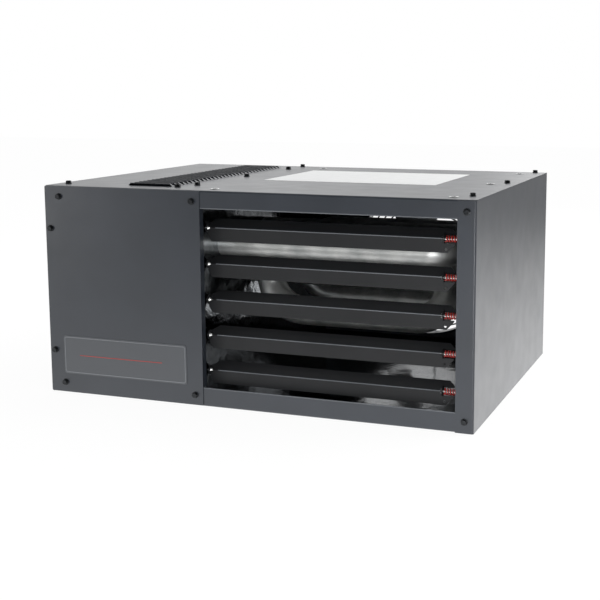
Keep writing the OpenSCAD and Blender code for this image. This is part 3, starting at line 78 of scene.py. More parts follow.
# %% [markdown]
# ## Helpers for finishes
# Colours are written as they look on screen, in sRGB hex, and one function turns them into the
# linear values that the shader works with. One function adds a node with its settings and its
# links. A finish starts from a Principled shader and Object coordinates, which are metres, so
# the size of each pattern can be given in millimetres.


# %% Colour, node and finish helpers
def colour(hex_text):
    """An sRGB hex colour as the shader's linear red, green, blue and alpha."""
    values = []
    for start in (0, 2, 4):
        value = int(hex_text.lstrip("#")[start:start + 2], 16) / 255
        values.append(value / 12.92 if value <= 0.04045 else ((value + 0.055) / 1.055) ** 2.4)
    return (*values, 1.0)


def add_node(tree, kind, settings=None, links=None):
    """Adds a node; a setting is a socket where the node has one by that name or number."""
    node = tree.nodes.new(kind)
    for name, value in (settings or {}).items():
        if isinstance(name, int) or name in node.inputs:
            node.inputs[name].default_value = value
        else:
            setattr(node, name, value)
    for name, source in (links or {}).items():
        tree.links.new(source, node.inputs[name])
    return node


def new_finish(name, base, roughness, metallic=0.0):
    """A material with its shader, and the Object coordinates that its patterns read."""
    material = bpy.data.materials.new(name)
    material.use_nodes = True
    tree = material.node_tree
    tree.nodes.clear()
    shader = add_node(tree, "ShaderNodeBsdfPrincipled", {
        "Base Color": colour(base), "Roughness": roughness, "Metallic": metallic})
    add_node(tree, "ShaderNodeOutputMaterial", links={"Surface": shader.outputs["BSDF"]})
    place = add_node(tree, "ShaderNodeTexCoord").outputs["Object"]
    return material, tree, shader, place


def noise_of(tree, place, size_mm, detail=2.0, stretch=(1, 1, 1)):
    """Noise whose lumps are about size_mm wide, stretched along the axes if asked."""
    mapped = add_node(tree, "ShaderNodeMapping", {"Scale": stretch}, {"Vector": place})
    noise = add_node(tree, "ShaderNodeTexNoise", {"Scale": 1 / (size_mm * MM), "Detail": detail},
                     {"Vector": mapped.outputs["Vector"]})
    return noise.outputs["Fac"]


def vary_colour(tree, shader, factor, dark, light, low=0.3, high=0.7):
    """Runs the base colour from dark to light with a pattern."""
    ramp = add_node(tree, "ShaderNodeValToRGB", links={"Fac": factor})
    ramp.color_ramp.elements[0].position = low
    ramp.color_ramp.elements[0].color = colour(dark)
    ramp.color_ramp.elements[1].position = high
    ramp.color_ramp.elements[1].color = colour(light)
    tree.links.new(ramp.outputs["Color"], shader.inputs["Base Color"])
    return ramp.outputs["Color"]


def vary_roughness(tree, shader, factor, low, high):
    """Runs the roughness between two values with a pattern."""
    spread = add_node(tree, "ShaderNodeMapRange", {"To Min": low, "To Max": high},
                      {"Value": factor})
    tree.links.new(spread.outputs["Result"], shader.inputs["Roughness"])


def raise_surface(tree, shader, factor, depth_mm, strength=1.0):
    """Bump whose relief is depth_mm deep."""
    bump = add_node(tree, "ShaderNodeBump", {"Distance": depth_mm * MM, "Strength": strength},
                    {"Height": factor})
    tree.links.new(bump.outputs["Normal"], shader.inputs["Normal"])
    return bump


print("finish helpers ready")

# %% [markdown]
# ## Powder coat
# The casing is steel sheet with a baked charcoal powder coat. The powder melts into a skin with
# a fine orange peel: real lumps are under 1 mm, drawn here 2.2 mm wide so that they show. The
# tone drifts a little over a hand's width where the film is thicker. The louvres have a duller
# coat, painted darker than the casing as painted shade. The folds get a lighter, glossier coat:
# a painted highlight along each fold.


# %% Powder coats
def powder_coat(name, dark, light, roughness, ior=1.5, peel_mm=2.2, peel_depth=0.035):
    """A baked polyester powder coat with orange peel and a slow drift in tone."""
    material, tree, shader, place = new_finish(name, dark, roughness)
    shader.inputs["IOR"].default_value = ior
    vary_colour(tree, shader, noise_of(tree, place, 90, 3.0), dark, light)
    vary_roughness(tree, shader, noise_of(tree, place, 35), roughness - 0.04, roughness + 0.05)
    raise_surface(tree, shader, noise_of(tree, place, peel_mm, 1.0), peel_depth)
    return material


casing_coat = powder_coat("charcoal_powder_coat", "#242930", "#2A2F37", 0.36)
# Darker copy of the casing coat: the darkness is painted shade on the louvres.
louvre_shaded_coat = powder_coat("louvre_painted_shade_coat", "#17181A", "#1E1F21", 0.5, 1.33)
# Lighter copy of the casing coat: painted highlight on the folds and hems.
fold_highlight_coat = powder_coat("fold_painted_highlight_coat", "#5E6267", "#686C71", 0.3)
print("powder coats:", casing_coat.name, louvre_shaded_coat.name, fold_highlight_coat.name)

# %% [markdown]
# ## Bare sheet inside
# The partition and the inside of the pan are bare galvanised steel. Zinc is a mirror with a
# slight crinkle, so it shows broken bright patches of what lies behind the fan guard. The
# crinkle comes from two noises, 16 mm and 4 mm wide. Its grey is darker than fresh zinc:
# painted shade for the inside of the cabinet. Outside, the pan is painted, so a mask on
# Object coordinates tells the inside from the outside.


# %% Galvanised sheet
COARSE_CRINKLE_MM, FINE_CRINKLE_MM, FINE_SHARE = 16, 4, 0.22
CRINKLE_DEPTH_MM = 0.35
SPANGLE_MM = 7


def crinkle_of(tree, place):
    """The height of crinkled sheet: wide waves with a share of small ones."""
    coarse = noise_of(tree, place, COARSE_CRINKLE_MM, 1.0)
    fine = noise_of(tree, place, FINE_CRINKLE_MM, 1.0)
    both = add_node(tree, "ShaderNodeMath", {"operation": "MULTIPLY_ADD", 1: FINE_SHARE},
                    {0: fine, 2: coarse})
    return both.outputs["Value"]


# The default tones are darker than fresh zinc: painted shade for the inside of the cabinet.
def galvanised(name, light="#75787B", dark="#5C5F62", roughness=0.09,
               crinkle=CRINKLE_DEPTH_MM):
    """Zinc coated steel, slightly crinkled, with its spangle as patches of tone."""
    material, tree, shader, place = new_finish(name, light, roughness, 1.0)
    spangle = add_node(tree, "ShaderNodeTexVoronoi", {"Scale": 1 / (SPANGLE_MM * MM)},
                       {"Vector": place})
    grey = add_node(tree, "ShaderNodeSeparateColor", links={"Color": spangle.outputs["Color"]})
    vary_colour(tree, shader, grey.outputs["Red"], dark, light, 0.0, 1.0)
    raise_surface(tree, shader, crinkle_of(tree, place), crinkle)
    return material


shaded_bare_sheet = galvanised("galvanised_sheet")
collector_sheet = galvanised("galvanised_duct_sheet", "#B4B7B9", "#9A9EA1", 0.3, 0.1)
print("bare sheet:", shaded_bare_sheet.name, collector_sheet.name)


# %% Pan that is painted outside and bare inside
PAN_INSIDE_Z = 0.0011
RAIL_BACK_Y = -0.2490
CASING_DARK, CASING_LIGHT, CASING_GLOSS = "#242930", "#2A2F37", 0.36


def above(tree, value, limit):
    """One where a coordinate is greater than a limit, else nought."""
    return add_node(tree, "ShaderNodeMath", {"operation": "GREATER_THAN", 1: limit},
                    {0: value}).outputs["Value"]


def painted_outside(name, inside_z, rail_back_y):
    """Powder coat outside; bare zinc above inside_z and behind the front rail."""
    material = powder_coat(name, CASING_DARK, CASING_LIGHT, CASING_GLOSS)
    tree = material.node_tree
    paint = next(n for n in tree.nodes if n.bl_idname == "ShaderNodeBsdfPrincipled")
    output = next(n for n in tree.nodes if n.bl_idname == "ShaderNodeOutputMaterial")
    place = next(n for n in tree.nodes if n.bl_idname == "ShaderNodeTexCoord").outputs["Object"]
    # The bare zinc inside the pan is dark: painted shade inside the cabinet.
    zinc = add_node(tree, "ShaderNodeBsdfPrincipled", {
        "Base Color": colour("#5C5F62"), "Roughness": 0.14, "Metallic": 1.0})
    raise_surface(tree, zinc, crinkle_of(tree, place), CRINKLE_DEPTH_MM)
    parts = add_node(tree, "ShaderNodeSeparateXYZ", links={"Vector": place})
    bare = add_node(tree, "ShaderNodeMath", {"operation": "MULTIPLY"}, {
        0: above(tree, parts.outputs["Z"], inside_z),
        1: above(tree, parts.outputs["Y"], rail_back_y)})
    mixed = add_node(tree, "ShaderNodeMixShader", links={
        0: bare.outputs["Value"], 1: paint.outputs["BSDF"], 2: zinc.outputs["BSDF"]})
    tree.links.new(mixed.outputs["Shader"], output.inputs["Surface"])
    return material


pan_sheet = painted_outside("pan_sheet", PAN_INSIDE_Z, RAIL_BACK_Y)
print("pan sheet is bare above", PAN_INSIDE_Z / MM, "mm and behind the rail")

# %% [markdown]
# ## Heat exchanger tubes
# Aluminised steel: a soft silver skin, hot dipped, drawn along the tube. Long faint streaks
# follow the tube, and the heat leaves the tone uneven. It is rougher than the zinc, so it
# glows as a broad bright band instead of showing a picture.

# %% Aluminised steel and other bare metals
aluminised, tree, shader, place = new_finish("aluminised_steel", "#C9CACA", 0.46, 0.85)
streaks = noise_of(tree, place, 3, 2.0, (0.04, 1, 1))
vary_colour(tree, shader, noise_of(tree, place, 28, 4.0), "#A6A8A8", "#CFD0CE")
vary_roughness(tree, shader, streaks, 0.38, 0.52)
raise_surface(tree, shader, noise_of(tree, place, 12, 2.0), 0.05)

zinc_plate, tree, shader, place = new_finish("bright_zinc_plate", "#C9CBCC", 0.22, 1.0)
vary_colour(tree, shader, noise_of(tree, place, 4, 2.0), "#B4B6B6", "#D3D4D2")
raise_surface(tree, shader, noise_of(tree, place, 1.2, 1.0), 0.02)

blade_metal, tree, shader, place = new_finish("rolled_aluminium", "#B9BBBD", 0.3, 1.0)
vary_roughness(tree, shader, noise_of(tree, place, 1.5, 2.0, (0.05, 1, 1)), 0.24, 0.42)
raise_surface(tree, shader, noise_of(tree, place, 2, 1.0, (0.06, 1, 1)), 0.01)

black_oxide, tree, shader, place = new_finish("black_oxide_steel", "#232527", 0.38, 0.7)
vary_roughness(tree, shader, noise_of(tree, place, 1.4), 0.3, 0.5)
raise_surface(tree, shader, noise_of(tree, place, 0.9, 1.0), 0.015)

turned_brass, tree, shader, place = new_finish("turned_brass", "#C79F4B", 0.25, 1.0)
vary_roughness(tree, shader, noise_of(tree, place, 1, 2.0, (0.1, 1, 1)), 0.2, 0.36)

cast_metal, tree, shader, place = new_finish("die_cast_aluminium", "#9A9C9D", 0.45, 1.0)
vary_colour(tree, shader, noise_of(tree, place, 8, 3.0), "#85888A", "#A6A8A9")
raise_surface(tree, shader, noise_of(tree, place, 1.0, 2.0), 0.04)

black_iron, tree, shader, place = new_finish("black_iron_pipe", "#2B2D2F", 0.5, 0.5)
vary_colour(tree, shader, noise_of(tree, place, 9, 4.0), "#232527", "#36383A")
raise_surface(tree, shader, noise_of(tree, place, 1.6, 3.0), 0.05)
print("bare metals ready")


# %% [markdown]
# ## Paints, plastics and rubber
# Small parts have moulded or enamelled skins. Each one gets its own colour, a fine grain in the
# bump at its real coarseness, and a gloss that varies slightly, as moulded parts do.


# %% Moulded and enamelled finishes
def moulded(name, base, other, roughness, grain_mm=0.9, grain_depth=0.02):
    """A moulded or enamelled skin with a fine grain."""
    material, tree, shader, place = new_finish(name, base, roughness)
    vary_colour(tree, shader, noise_of(tree, place, 14, 2.0), base, other)
    vary_roughness(tree, shader, noise_of(tree, place, 6), roughness - 0.05, roughness + 0.08)
    raise_surface(tree, shader, noise_of(tree, place, grain_mm, 1.0), grain_depth)
    return material


spring_lacquer = moulded("red_lacquered_wire", "#A32420", "#B6332C", 0.28)
spring_lacquer.node_tree.nodes["Principled BSDF"].inputs["Coat Weight"].default_value = 0.6
red_knob = moulded("red_abs", "#BC322A", "#C43A30", 0.35)
black_abs = moulded("black_abs", "#26282A", "#2E3032", 0.42)
housing_plastic = moulded("glass_filled_nylon", "#36383A", "#3F4143", 0.5, 1.4, 0.05)
motor_enamel = moulded("baked_motor_enamel", "#2C2E30", "#34373A", 0.36, 1.6, 0.03)
switch_plastic = moulded("blue_phenolic", "#3B4A63", "#43536E", 0.4)
rubber = moulded("nitrile_rubber", "#1B1C1E", "#232426", 0.6, 1.2, 0.03)
silicone = moulded("silicone_hose", "#48494B", "#525355", 0.5)
ceramic = moulded("glazed_ceramic", "#E6E3DA", "#DCD8CD", 0.15, 2.5, 0.01)
solder_mask = moulded("green_solder_mask", "#2B6341", "#34734B", 0.3, 2.0, 0.03)
nylon = moulded("natural_nylon", "#E6E6E2", "#DEDED8", 0.4)
core_varnish = moulded("varnished_core", "#6A655B", "#767065", 0.35, 1.0, 0.06)
wire_dip = moulded("dip_coated_wire", "#2A2C2E", "#323437", 0.33, 1.2, 0.02)
label_vinyl = moulded("white_label_vinyl", "#E2E3E3", "#E8E9E9", 0.45, 3.0, 0.015)
print("moulded finishes ready")

# %% [markdown]
# ## The bare nameplate
# A thin plate with a dark satin print. Its face stays bare. A line of brushed metal runs round
# it, and one thin red line lies along it.

# %% Nameplate finishes
plate_print, tree, shader, place = new_finish("satin_plate_print", "#46494E", 0.34)
vary_roughness(tree, shader, noise_of(tree, place, 1.2, 2.0, (0.03, 1, 1)), 0.28, 0.42)
raise_surface(tree, shader, noise_of(tree, place, 1.6, 1.0, (0.05, 1, 1)), 0.01)
plate_trim, tree, shader, place = new_finish("brushed_plate_trim", "#6E7174", 0.4, 1.0)
vary_roughness(tree, shader, noise_of(tree, place, 1.0, 2.0, (0.05, 1, 1)), 0.22, 0.4)
stripe_red = moulded("red_plate_line", "#9E2F2B", "#A63630", 0.35)
print("nameplate finishes ready")

# %% [markdown]
# ## Finishes on the CAD solids
# Each solid keeps its shape and gets the finish of the real piece. A table of names does it, so
# nothing is forgotten: the last line prints the table's names that match no node.

# %% Table of finishes
FINISH_OF = {
    "bottom_pan": pan_sheet, "left_panel": casing_coat, "right_panel": casing_coat,
    "rear_panel": casing_coat, "fan_venturi": casing_coat, "partition": shaded_bare_sheet,
    "top_panel": casing_coat,
    "access_panel": casing_coat, "nameplate": plate_print, "top_screws": black_oxide,
    "front_screws": black_oxide, "hanging_inserts": zinc_plate, "louvre_bracket": shaded_bare_sheet,
    "louvre_springs": spring_lacquer, "front_heat_tube": aluminised,
    "rear_heat_tube": aluminised, "front_burner": aluminised, "rear_burner": aluminised,
    "burner_bracket": shaded_bare_sheet, "gas_manifold": black_iron, "gas_orifices": turned_brass,
    "gas_valve": cast_metal, "gas_valve_knob": red_knob, "gas_inlet_pipe": black_iron,
    "pipe_bushing": rubber, "igniter": ceramic, "flame_sensor": ceramic,
    "flue_collector": collector_sheet, "inducer_housing": housing_plastic,
    "inducer_wheel": zinc_plate, "inducer_motor": motor_enamel, "flue_duct": collector_sheet,
    "pressure_switch": switch_plastic, "pressure_hose": silicone,
    "control_board": solder_mask, "board_spacers": nylon, "transformer": core_varnish,
    "junction_box": collector_sheet, "limit_switch": black_abs, "rollout_switch": black_abs,
    "reset_button": red_knob, "fan_motor": motor_enamel, "fan_shaft": zinc_plate,
    "propeller": blade_metal, "fan_guard": wire_dip, "guard_screws": black_oxide,
}
for number in range(1, 6):
    FINISH_OF[f"louvre_{number}"] = louvre_shaded_coat
    FINISH_OF[f"louvre_pins_{number}"] = zinc_plate

for name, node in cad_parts.items():
    node.data.materials.clear()
    node.data.materials.append(FINISH_OF[name])
print("finished nodes:", len(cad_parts), "left over:", set(FINISH_OF) - set(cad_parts))

# %% [markdown]
# ## Helpers for new pieces
# A new piece is modelled with the same operators as by hand. Before each one, everything is
# deselected. At the end its place goes into its mesh, so that its object sits at the origin, it
# gets smooth shading except over sharp edges, and it rides on the body that carries it.


# %% Piece helpers
def deselect_all():
    """Nothing selected and no active object."""
    bpy.ops.object.select_all(action="DESELECT")
    bpy.context.view_layer.objects.active = None


def pick(*objects):
    """Selects only these objects; the first is active."""
    deselect_all()
    for thing in objects:
        thing.select_set(True)
    bpy.context.view_layer.objects.active = objects[0]


def finish_piece(piece, name, material, body, angle=35):
    """Puts the place into the mesh, then names, smooths, colours and seats the piece."""
    pick(piece)
    bpy.ops.object.transform_apply(location=True, rotation=True, scale=True)
    bpy.ops.object.shade_smooth_by_angle(angle=math.radians(angle))
    piece.name = name
    piece.data.name = name
    piece.data.materials.clear()
    piece.data.materials.append(material)
    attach(piece, body)
    print(name, "has", len(piece.data.polygons), "faces")
    return piece


def bevel_edges(piece, width_mm, chosen, segments=2):
    """Bevels the edges for which chosen(edge, mesh) is true."""
    pick(piece)
    bpy.ops.object.mode_set(mode="EDIT")
    bpy.ops.mesh.select_all(action="DESELECT")
    bpy.ops.mesh.select_mode(type="EDGE")
    mesh = bmesh.from_edit_mesh(piece.data)
    for edge in mesh.edges:
        edge.select_set(chosen(edge))
    bmesh.update_edit_mesh(piece.data)
    bpy.ops.mesh.bevel(offset=width_mm * MM, segments=segments, profile=0.5)
    bpy.ops.object.mode_set(mode="OBJECT")


def copies_of(model, matrices):
    """Copies a model, each copy with its own mesh, and joins them; the model is used up."""
    made = []
    for matrix in matrices:
        copy = model.copy()
        copy.data = model.data.copy()
        copy.matrix_world = matrix
        bpy.context.scene.collection.objects.link(copy)
        made.append(copy)
    bpy.data.objects.remove(model)
    pick(*made)
    bpy.ops.object.transform_apply(location=True, rotation=True, scale=True)
    if len(made) > 1:
        bpy.ops.object.join()
    return bpy.context.view_layer.objects.active


print("piece helpers ready")

# %% [markdown]
# ## Screw heads
# The casing is held by hex washer head screws in black oxide. The forged head has a chamfered
# crown with a shallow dish in its top, and the washer is domed. One screw is modelled along +Z
# and copied to each place.


# %% One screw
WASHER_R, WASHER_T, WASHER_DOME = 5, 1, 0.45
HEAD_R, HEAD_H, HEAD_MIDDLE, HEAD_CHAMFER = 4.3, 3.7, 2.75, 0.5
DISH_RIM, DISH_SLOPE, DISH_DEPTH = 0.9, 0.3, 0.35
SHANK_R, SHANK_LENGTH, SHANK_MIDDLE = 1.9, 8.2, -3.9


def round_rod(sides, radius_mm, depth_mm, middle_mm):
    """A cylinder or prism along Z, its middle at a height."""
    deselect_all()
    bpy.ops.mesh.primitive_cylinder_add(vertices=sides, radius=radius_mm * MM,
                                        depth=depth_mm * MM, location=(0, 0, middle_mm * MM))
    return bpy.context.object


def model_screw():
    """A hex washer head with its shank, standing on z = 0."""
    washer = round_rod(36, WASHER_R, WASHER_T, WASHER_T / 2)
    bevel_edges(washer, WASHER_DOME, lambda edge: all(v.co.z > 0 for v in edge.verts))
    head = round_rod(6, HEAD_R, HEAD_H, HEAD_MIDDLE)
    bevel_edges(head, HEAD_CHAMFER, lambda edge: all(v.co.z > 0 for v in edge.verts), 3)
    pick(head)
    bpy.ops.object.mode_set(mode="EDIT")
    bpy.ops.mesh.select_all(action="DESELECT")
    bpy.ops.mesh.select_mode(type="FACE")
    mesh = bmesh.from_edit_mesh(head.data)
    top = max(mesh.faces, key=lambda face: face.calc_center_median().z)
    top.select_set(True)
    bmesh.update_edit_mesh(head.data)
    bpy.ops.mesh.inset(thickness=DISH_RIM * MM, depth=0)
    bpy.ops.mesh.inset(thickness=DISH_SLOPE * MM, depth=-DISH_DEPTH * MM)
    bpy.ops.object.mode_set(mode="OBJECT")
    shank = round_rod(16, SHANK_R, SHANK_LENGTH, SHANK_MIDDLE)
    pick(head, washer, shank)
    bpy.ops.object.transform_apply(location=True, rotation=True, scale=True)
    bpy.ops.object.join()
    return bpy.context.view_layer.objects.active


# %% Screws at their places
TOP_SCREWS = [(-322, -214.5), (-132, -211.5), (-119, -173.5), (-119, 1.85), (-119, 177.2),
              (-119, 244), (321, -197.5), (321, 21.04), (321, 244)]
FRONT_SCREWS = [(-315, 16.5), (-315, 307.5), (-88, 16.5), (-88, 307.5), (-331.4, 67),
                (-331.4, 258), (326.75, 16.5), (326.75, 307.5)]
CABINET_TOP, CABINET_FRONT = 0.324, -0.2525
GUARD_MIDDLE, GUARD_SCREW_R = (0.1318, 0.254, 0.162), 0.150
turns = [0.3, 1.1, 0.7, 0.1, 0.9, 0.5, 0.2, 0.8, 0.4]
to_front = Matrix.Rotation(math.pi / 2, 4, "X")
to_rear = Matrix.Rotation(-math.pi / 2, 4, "X")
top_matrices = [Matrix.Translation((x * MM, y * MM, CABINET_TOP)) @ Matrix.Rotation(turn, 4, "Z")
                for (x, y), turn in zip(TOP_SCREWS, turns)]
front_matrices = [Matrix.Translation((x * MM, CABINET_FRONT, z * MM)) @ to_front
                  @ Matrix.Rotation(turn, 4, "Z") for (x, z), turn in zip(FRONT_SCREWS, turns)]
guard_matrices = [Matrix.Translation(GUARD_MIDDLE) @ Matrix.Rotation(corner, 4, "Y")
                  @ Matrix.Translation((GUARD_SCREW_R, 0, 0)) @ to_rear
                  for corner in (math.pi / 4 + k * math.pi / 2 for k in range(4))]
for name, node, matrices in (("top_screw_heads", "top_screws", top_matrices),
                             ("front_screw_heads", "front_screws", front_matrices),
                             ("guard_screw_heads", "guard_screws", guard_matrices)):
    screws = finish_piece(copies_of(model_screw(), matrices), name, black_oxide, "cabinet")
    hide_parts(node)

# %% [markdown]
# ## Louvre springs
# At the right end of each louvre a red lacquered spring presses on the pivot, so that the
# louvre stays where it is put. A circle of wire is carried round and along the axis by the
# Screw modifier, which gives a true coil, and its two ends are closed.

# %% Coil
PIVOT_Z = [0.2672, 0.2132, 0.1592, 0.1052, 0.0512]
PIVOT_Y = -0.2295
SPRING_START, SPRING_END = 0.2905, 0.3177
WIRE_R, COIL_R, TURNS = 0.00085, 0.00415, 7
STEPS_A_TURN = 28


def model_spring():
    """A coil along +Z, from z = 0."""
    length = SPRING_END - SPRING_START
    deselect_all()
    bpy.ops.mesh.primitive_circle_add(vertices=12, radius=WIRE_R, location=(COIL_R, 0, WIRE_R),
                                      rotation=(math.pi / 2, 0, 0))
    coil = bpy.context.object
    bpy.ops.object.transform_apply(location=True, rotation=True, scale=True)
    screw = coil.modifiers.new("coil", "SCREW")
    screw.axis = "Z"
    screw.angle = 2 * math.pi * TURNS
    screw.screw_offset = length - 2 * WIRE_R
    screw.iterations = 1
    screw.steps = screw.render_steps = STEPS_A_TURN * TURNS
    bpy.ops.object.modifier_apply(modifier="coil")
    bpy.ops.object.mode_set(mode="EDIT")
    bpy.ops.mesh.select_all(action="DESELECT")
    bpy.ops.mesh.select_mode(type="EDGE")
    bpy.ops.mesh.select_non_manifold(extend=False)
    bpy.ops.mesh.edge_face_add()
    bpy.ops.mesh.select_all(action="SELECT")
    bpy.ops.mesh.normals_make_consistent(inside=False)
    bpy.ops.object.mode_set(mode="OBJECT")
    return coil


# %% Springs at the five pivots
spring_matrices = [Matrix.Translation((SPRING_START, PIVOT_Y, z))
                   @ Matrix.Rotation(math.pi / 2, 4, "Y") for z in PIVOT_Z]
springs = finish_piece(copies_of(model_spring(), spring_matrices), "louvre_spring_coils",
                       spring_lacquer, "cabinet", 60)
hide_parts("louvre_springs")

# %% [markdown]
# ## Folded edges
# Sheet metal is never sharp where it is folded. The fold of each louvre and the hems of the two
# rails are thin round bars of the sheet's own radius, with a coat painted lighter than the
# casing as a painted highlight, so that they show as one fine bright line.
# Each louvre's fold rides on its louvre, because it tilts with it.


# %% Folds and hems
def round_bar(from_x, to_x, y, z, radius):
    """A round bar along X."""
    deselect_all()
    bpy.ops.mesh.primitive_cylinder_add(
        vertices=20, radius=radius, depth=to_x - from_x, rotation=(0, math.pi / 2, 0),
        location=((from_x + to_x) / 2, y, z))
    return bpy.context.object


FOLD_R, FOLD_FROM, FOLD_TO = 0.0008, -0.0610, 0.2880
for number, pivot_z in enumerate(PIVOT_Z, 1):
    fold = round_bar(FOLD_FROM, FOLD_TO, PIVOT_Y, pivot_z, FOLD_R)
    finish_piece(fold, f"louvre_fold_{number}", fold_highlight_coat, f"louvre_{number}")

HEM_R, HEM_FROM, HEM_TO = 0.0009, -0.0745, 0.3133
HEM_Y, HEM_Z = -0.2507, (0.0280, 0.2980)
hems = [round_bar(HEM_FROM, HEM_TO, HEM_Y, z, HEM_R) for z in HEM_Z]
pick(*hems)
bpy.ops.object.join()
finish_piece(bpy.context.view_layer.objects.active, "rail_hems", fold_highlight_coat, "cabinet")

# %% [markdown]
# ## Label and nameplate trim
# A large white label lies bare on the top sheet: a plane with round corners and the thickness
# of vinyl. The nameplate at the lower left gets a thin raised line round it, inset from its
# edge, and one thin red line.


# %% Flat pieces with round corners
def flat_piece(width, height, thick, corner, at, turn=(0, 0, 0)):
    """A thin plate on the XY plane with round corners, then turned and moved to its place."""
    deselect_all()
    bpy.ops.mesh.primitive_cube_add(size=1, location=(0, 0, thick / 2))
    plate = bpy.context.object
    plate.scale = (width, height, thick)
    bpy.ops.object.transform_apply(location=True, rotation=True, scale=True)
    bevel_edges(plate, corner / MM, lambda edge: abs(
        (edge.verts[0].co - edge.verts[1].co).normalized().z) > 0.9, 6)
    plate.matrix_world = Matrix.Translation(at) @ Matrix.Rotation(turn[0], 4, "X")
    return plate


def frame_piece(width, height, line, thick, corner, at, turn):
    """A thin line round a plate: the plate's own outline with its middle inset and deleted."""
    plate = flat_piece(width, height, thick, corner, (0, 0, 0))
    pick(plate)
    bpy.ops.object.mode_set(mode="EDIT")
    bpy.ops.mesh.select_all(action="DESELECT")
    bpy.ops.mesh.select_mode(type="FACE")
    mesh = bmesh.from_edit_mesh(plate.data)
    for face in mesh.faces:
        face.select_set(abs(face.normal.z) > 0.9)
    bmesh.update_edit_mesh(plate.data)
    bpy.ops.mesh.inset(thickness=line, depth=0)
    bpy.ops.mesh.bridge_edge_loops()
    bpy.ops.object.mode_set(mode="OBJECT")
    plate.matrix_world = Matrix.Translation(at) @ Matrix.Rotation(turn[0], 4, "X")
    return plate


# %% Label on the top
LABEL_WIDTH, LABEL_LENGTH, LABEL_T, LABEL_CORNER = 0.288, 0.215, 0.0002, 0.003
LABEL_PLACE = (0.081, 0.054, CABINET_TOP)
label = flat_piece(LABEL_WIDTH, LABEL_LENGTH, LABEL_T, LABEL_CORNER, LABEL_PLACE)
finish_piece(label, "top_label", label_vinyl, "cabinet")

# %% Trim of the nameplate
plate_low, plate_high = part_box("nameplate")
plate_x = (plate_low.x + plate_high.x) / 2
plate_z = (plate_low.z + plate_high.z) / 2
plate_face = plate_low.y
UPRIGHT = (math.pi / 2, 0, 0)
TRIM_WIDTH, TRIM_HEIGHT, TRIM_LINE, TRIM_T, TRIM_CORNER = 0.210, 0.056, 0.0008, 0.0003, 0.0035
trim = frame_piece(TRIM_WIDTH, TRIM_HEIGHT, TRIM_LINE, TRIM_T, TRIM_CORNER,
                   (plate_x, plate_face, plate_z), UPRIGHT)
finish_piece(trim, "nameplate_trim", plate_trim, "cabinet")

# %% Red line on the nameplate
LINE_LENGTH, LINE_HEIGHT, LINE_T, LINE_CORNER, LINE_LEFT = 0.144, 0.0011, 0.0003, 0.0004, 0.0067
line = flat_piece(LINE_LENGTH, LINE_HEIGHT, LINE_T, LINE_CORNER,
                  (plate_x - LINE_LEFT, plate_face, plate_z), UPRIGHT)
finish_piece(line, "nameplate_line", stripe_red, "cabinet")

# %% [markdown]
# ## Studio
# A pale floor and a white surround. What the camera, a mirror or glass sees of them is white,
# while the object is lit by a plainer level, so its colours render about as written. The floor
# keeps a share of its own shading for the camera, so the cabinet keeps its shadow. What a gloss
# mirrors is dark in front and bright behind, strongest a little to the left, and the floor's
# glow fades away from the cabinet. That gives the sheet its slow gradients.


# %% Light path mask and world
def seen_directly(tree):
    """One where the camera or a reflection looks straight at the surround, else nought."""
    path = add_node(tree, "ShaderNodeLightPath")
    first = add_node(tree, "ShaderNodeMath", {"operation": "MAXIMUM"}, {
        0: path.outputs["Is Camera Ray"], 1: path.outputs["Is Glossy Ray"]})
    both = add_node(tree, "ShaderNodeMath", {"operation": "MAXIMUM"}, {
        0: first.outputs["Value"], 1: path.outputs["Is Transmission Ray"]})
    return both.outputs["Value"]


ROOM_LEVEL, SEEN_LEVEL = 0.55, 1.0
FRONT_Y, BACK_Y, FRONT_GLOSS, BACK_GLOSS = -0.9, 0.3, 0.02, 1.25
SOFTBOX_X, SOFTBOX_REACH, SOFTBOX_MIDDLE, SOFTBOX_EDGE = -0.42, 0.22, 1.2, 0.77

world = bpy.data.worlds.new("studio")
world.use_nodes = True
bpy.context.scene.world = world
tree = world.node_tree
tree.nodes.clear()
level = add_node(tree, "ShaderNodeMapRange", {"To Min": ROOM_LEVEL, "To Max": SEEN_LEVEL},
                 {"Value": seen_directly(tree)})
facing = add_node(tree, "ShaderNodeSeparateXYZ", links={
    "Vector": add_node(tree, "ShaderNodeTexCoord").outputs["Generated"]})
mirrored = add_node(tree, "ShaderNodeMapRange", {
    "From Min": FRONT_Y, "From Max": BACK_Y, "To Min": FRONT_GLOSS, "To Max": BACK_GLOSS},
    {"Value": facing.outputs["Y"]})
aside = add_node(tree, "ShaderNodeMath", {"operation": "SUBTRACT", 1: SOFTBOX_X},
                 {0: facing.outputs["X"]})
apart = add_node(tree, "ShaderNodeMath", {"operation": "ABSOLUTE"}, {0: aside.outputs["Value"]})
softbox = add_node(tree, "ShaderNodeMapRange", {
    "From Min": 0.0, "From Max": SOFTBOX_REACH, "To Min": SOFTBOX_MIDDLE,
    "To Max": SOFTBOX_EDGE},
    {"Value": apart.outputs["Value"]})
shaped = add_node(tree, "ShaderNodeMath", {"operation": "MULTIPLY"}, {
    0: mirrored.outputs["Result"], 1: softbox.outputs["Result"]})
glossy = add_node(tree, "ShaderNodeLightPath").outputs["Is Glossy Ray"]
strength = add_node(tree, "ShaderNodeMix", {"data_type": "FLOAT"}, {
    0: glossy, 2: level.outputs["Result"], 3: shaped.outputs["Value"]})
surround = add_node(tree, "ShaderNodeBackground", {"Color": colour("#FFFFFF")},
                    {"Strength": strength.outputs[0]})
add_node(tree, "ShaderNodeOutputWorld", links={"Surface": surround.outputs["Background"]})
print("world ready")

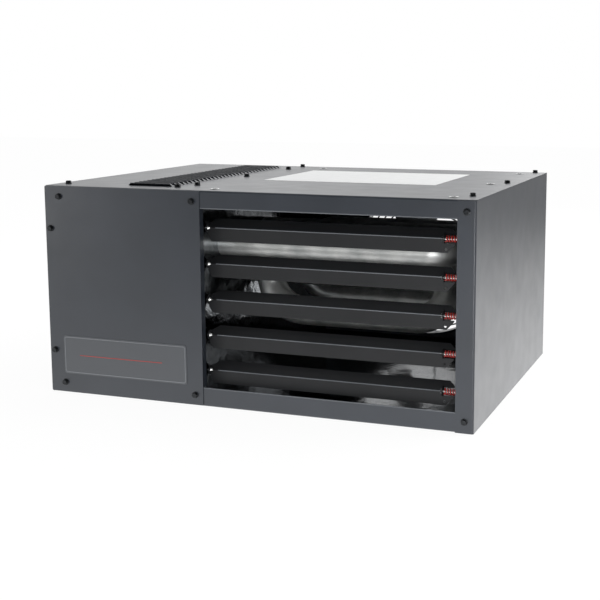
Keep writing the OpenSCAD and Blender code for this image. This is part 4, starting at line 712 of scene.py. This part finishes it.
# %% Floor
FLOOR_SIZE = 14
POOL_NEAR, POOL_FAR, NEAR_GLOW, FAR_GLOW = 0.4, 2.4, 2.3, 0.35
CAMERA_GLOW, GLOW_SHARE = 1.06, 0.88
deselect_all()
bpy.ops.mesh.primitive_plane_add(size=FLOOR_SIZE, location=(0, 0, 0))
floor = bpy.context.object
floor.name = "studio_floor"
floor_paint = bpy.data.materials.new("pale_floor")
floor_paint.use_nodes = True
tree = floor_paint.node_tree
tree.nodes.clear()
matt = add_node(tree, "ShaderNodeBsdfDiffuse", {"Color": colour("#EEEEEE")})
far = add_node(tree, "ShaderNodeVectorMath", {"operation": "LENGTH"}, {
    0: add_node(tree, "ShaderNodeTexCoord").outputs["Object"]})
pooled = add_node(tree, "ShaderNodeMapRange", {
    "From Min": POOL_NEAR, "From Max": POOL_FAR, "To Min": NEAR_GLOW, "To Max": FAR_GLOW},
    {"Value": far.outputs["Value"]})
bright = add_node(tree, "ShaderNodeMix", {"data_type": "FLOAT", 2: CAMERA_GLOW}, {
    0: add_node(tree, "ShaderNodeLightPath").outputs["Is Glossy Ray"],
    3: pooled.outputs["Result"]})
glow = add_node(tree, "ShaderNodeEmission", {"Color": colour("#FFFFFF")},
                {"Strength": bright.outputs[0]})
share = add_node(tree, "ShaderNodeMapRange", {"To Min": 0.0, "To Max": GLOW_SHARE},
                 {"Value": seen_directly(tree)})
mixed = add_node(tree, "ShaderNodeMixShader", links={
    0: share.outputs["Result"], 1: matt.outputs["BSDF"], 2: glow.outputs["Emission"]})
add_node(tree, "ShaderNodeOutputMaterial", links={"Surface": mixed.outputs["Shader"]})
floor.data.materials.append(floor_paint)
print("floor ready")


# %% Lamps
def area_lamp(name, place, target, size, power):
    """A square soft light that points at a target."""
    data = bpy.data.lights.new(name, "AREA")
    data.size = size
    data.energy = power
    lamp = bpy.data.objects.new(name, data)
    lamp.location = place
    lamp.rotation_euler = (Vector(target) - Vector(place)).to_track_quat("-Z", "Y").to_euler()
    bpy.context.scene.collection.objects.link(lamp)
    return lamp


LAMPS = [
    ("key", (1.3, 0.6, 1.8), (0, 0, 0.2), 1.2, 15),
    ("fill", (-1.5, -1.6, 0.2), (0, 0, 0.1), 0.4, 4),
    ("low_front", (0.5, -1.1, 0.02), (0.05, -0.15, 0.16), 0.3, 7),
    ("back", (0.4, 1.9, 1.3), (0, 0.1, 0.2), 1.2, 10),
]
for lamp_name, lamp_place, lamp_target, lamp_size, lamp_power in LAMPS:
    area_lamp(lamp_name, lamp_place, lamp_target, lamp_size, lamp_power)
bpy.context.scene.view_settings.view_transform = "Standard"
print("lamps ready")
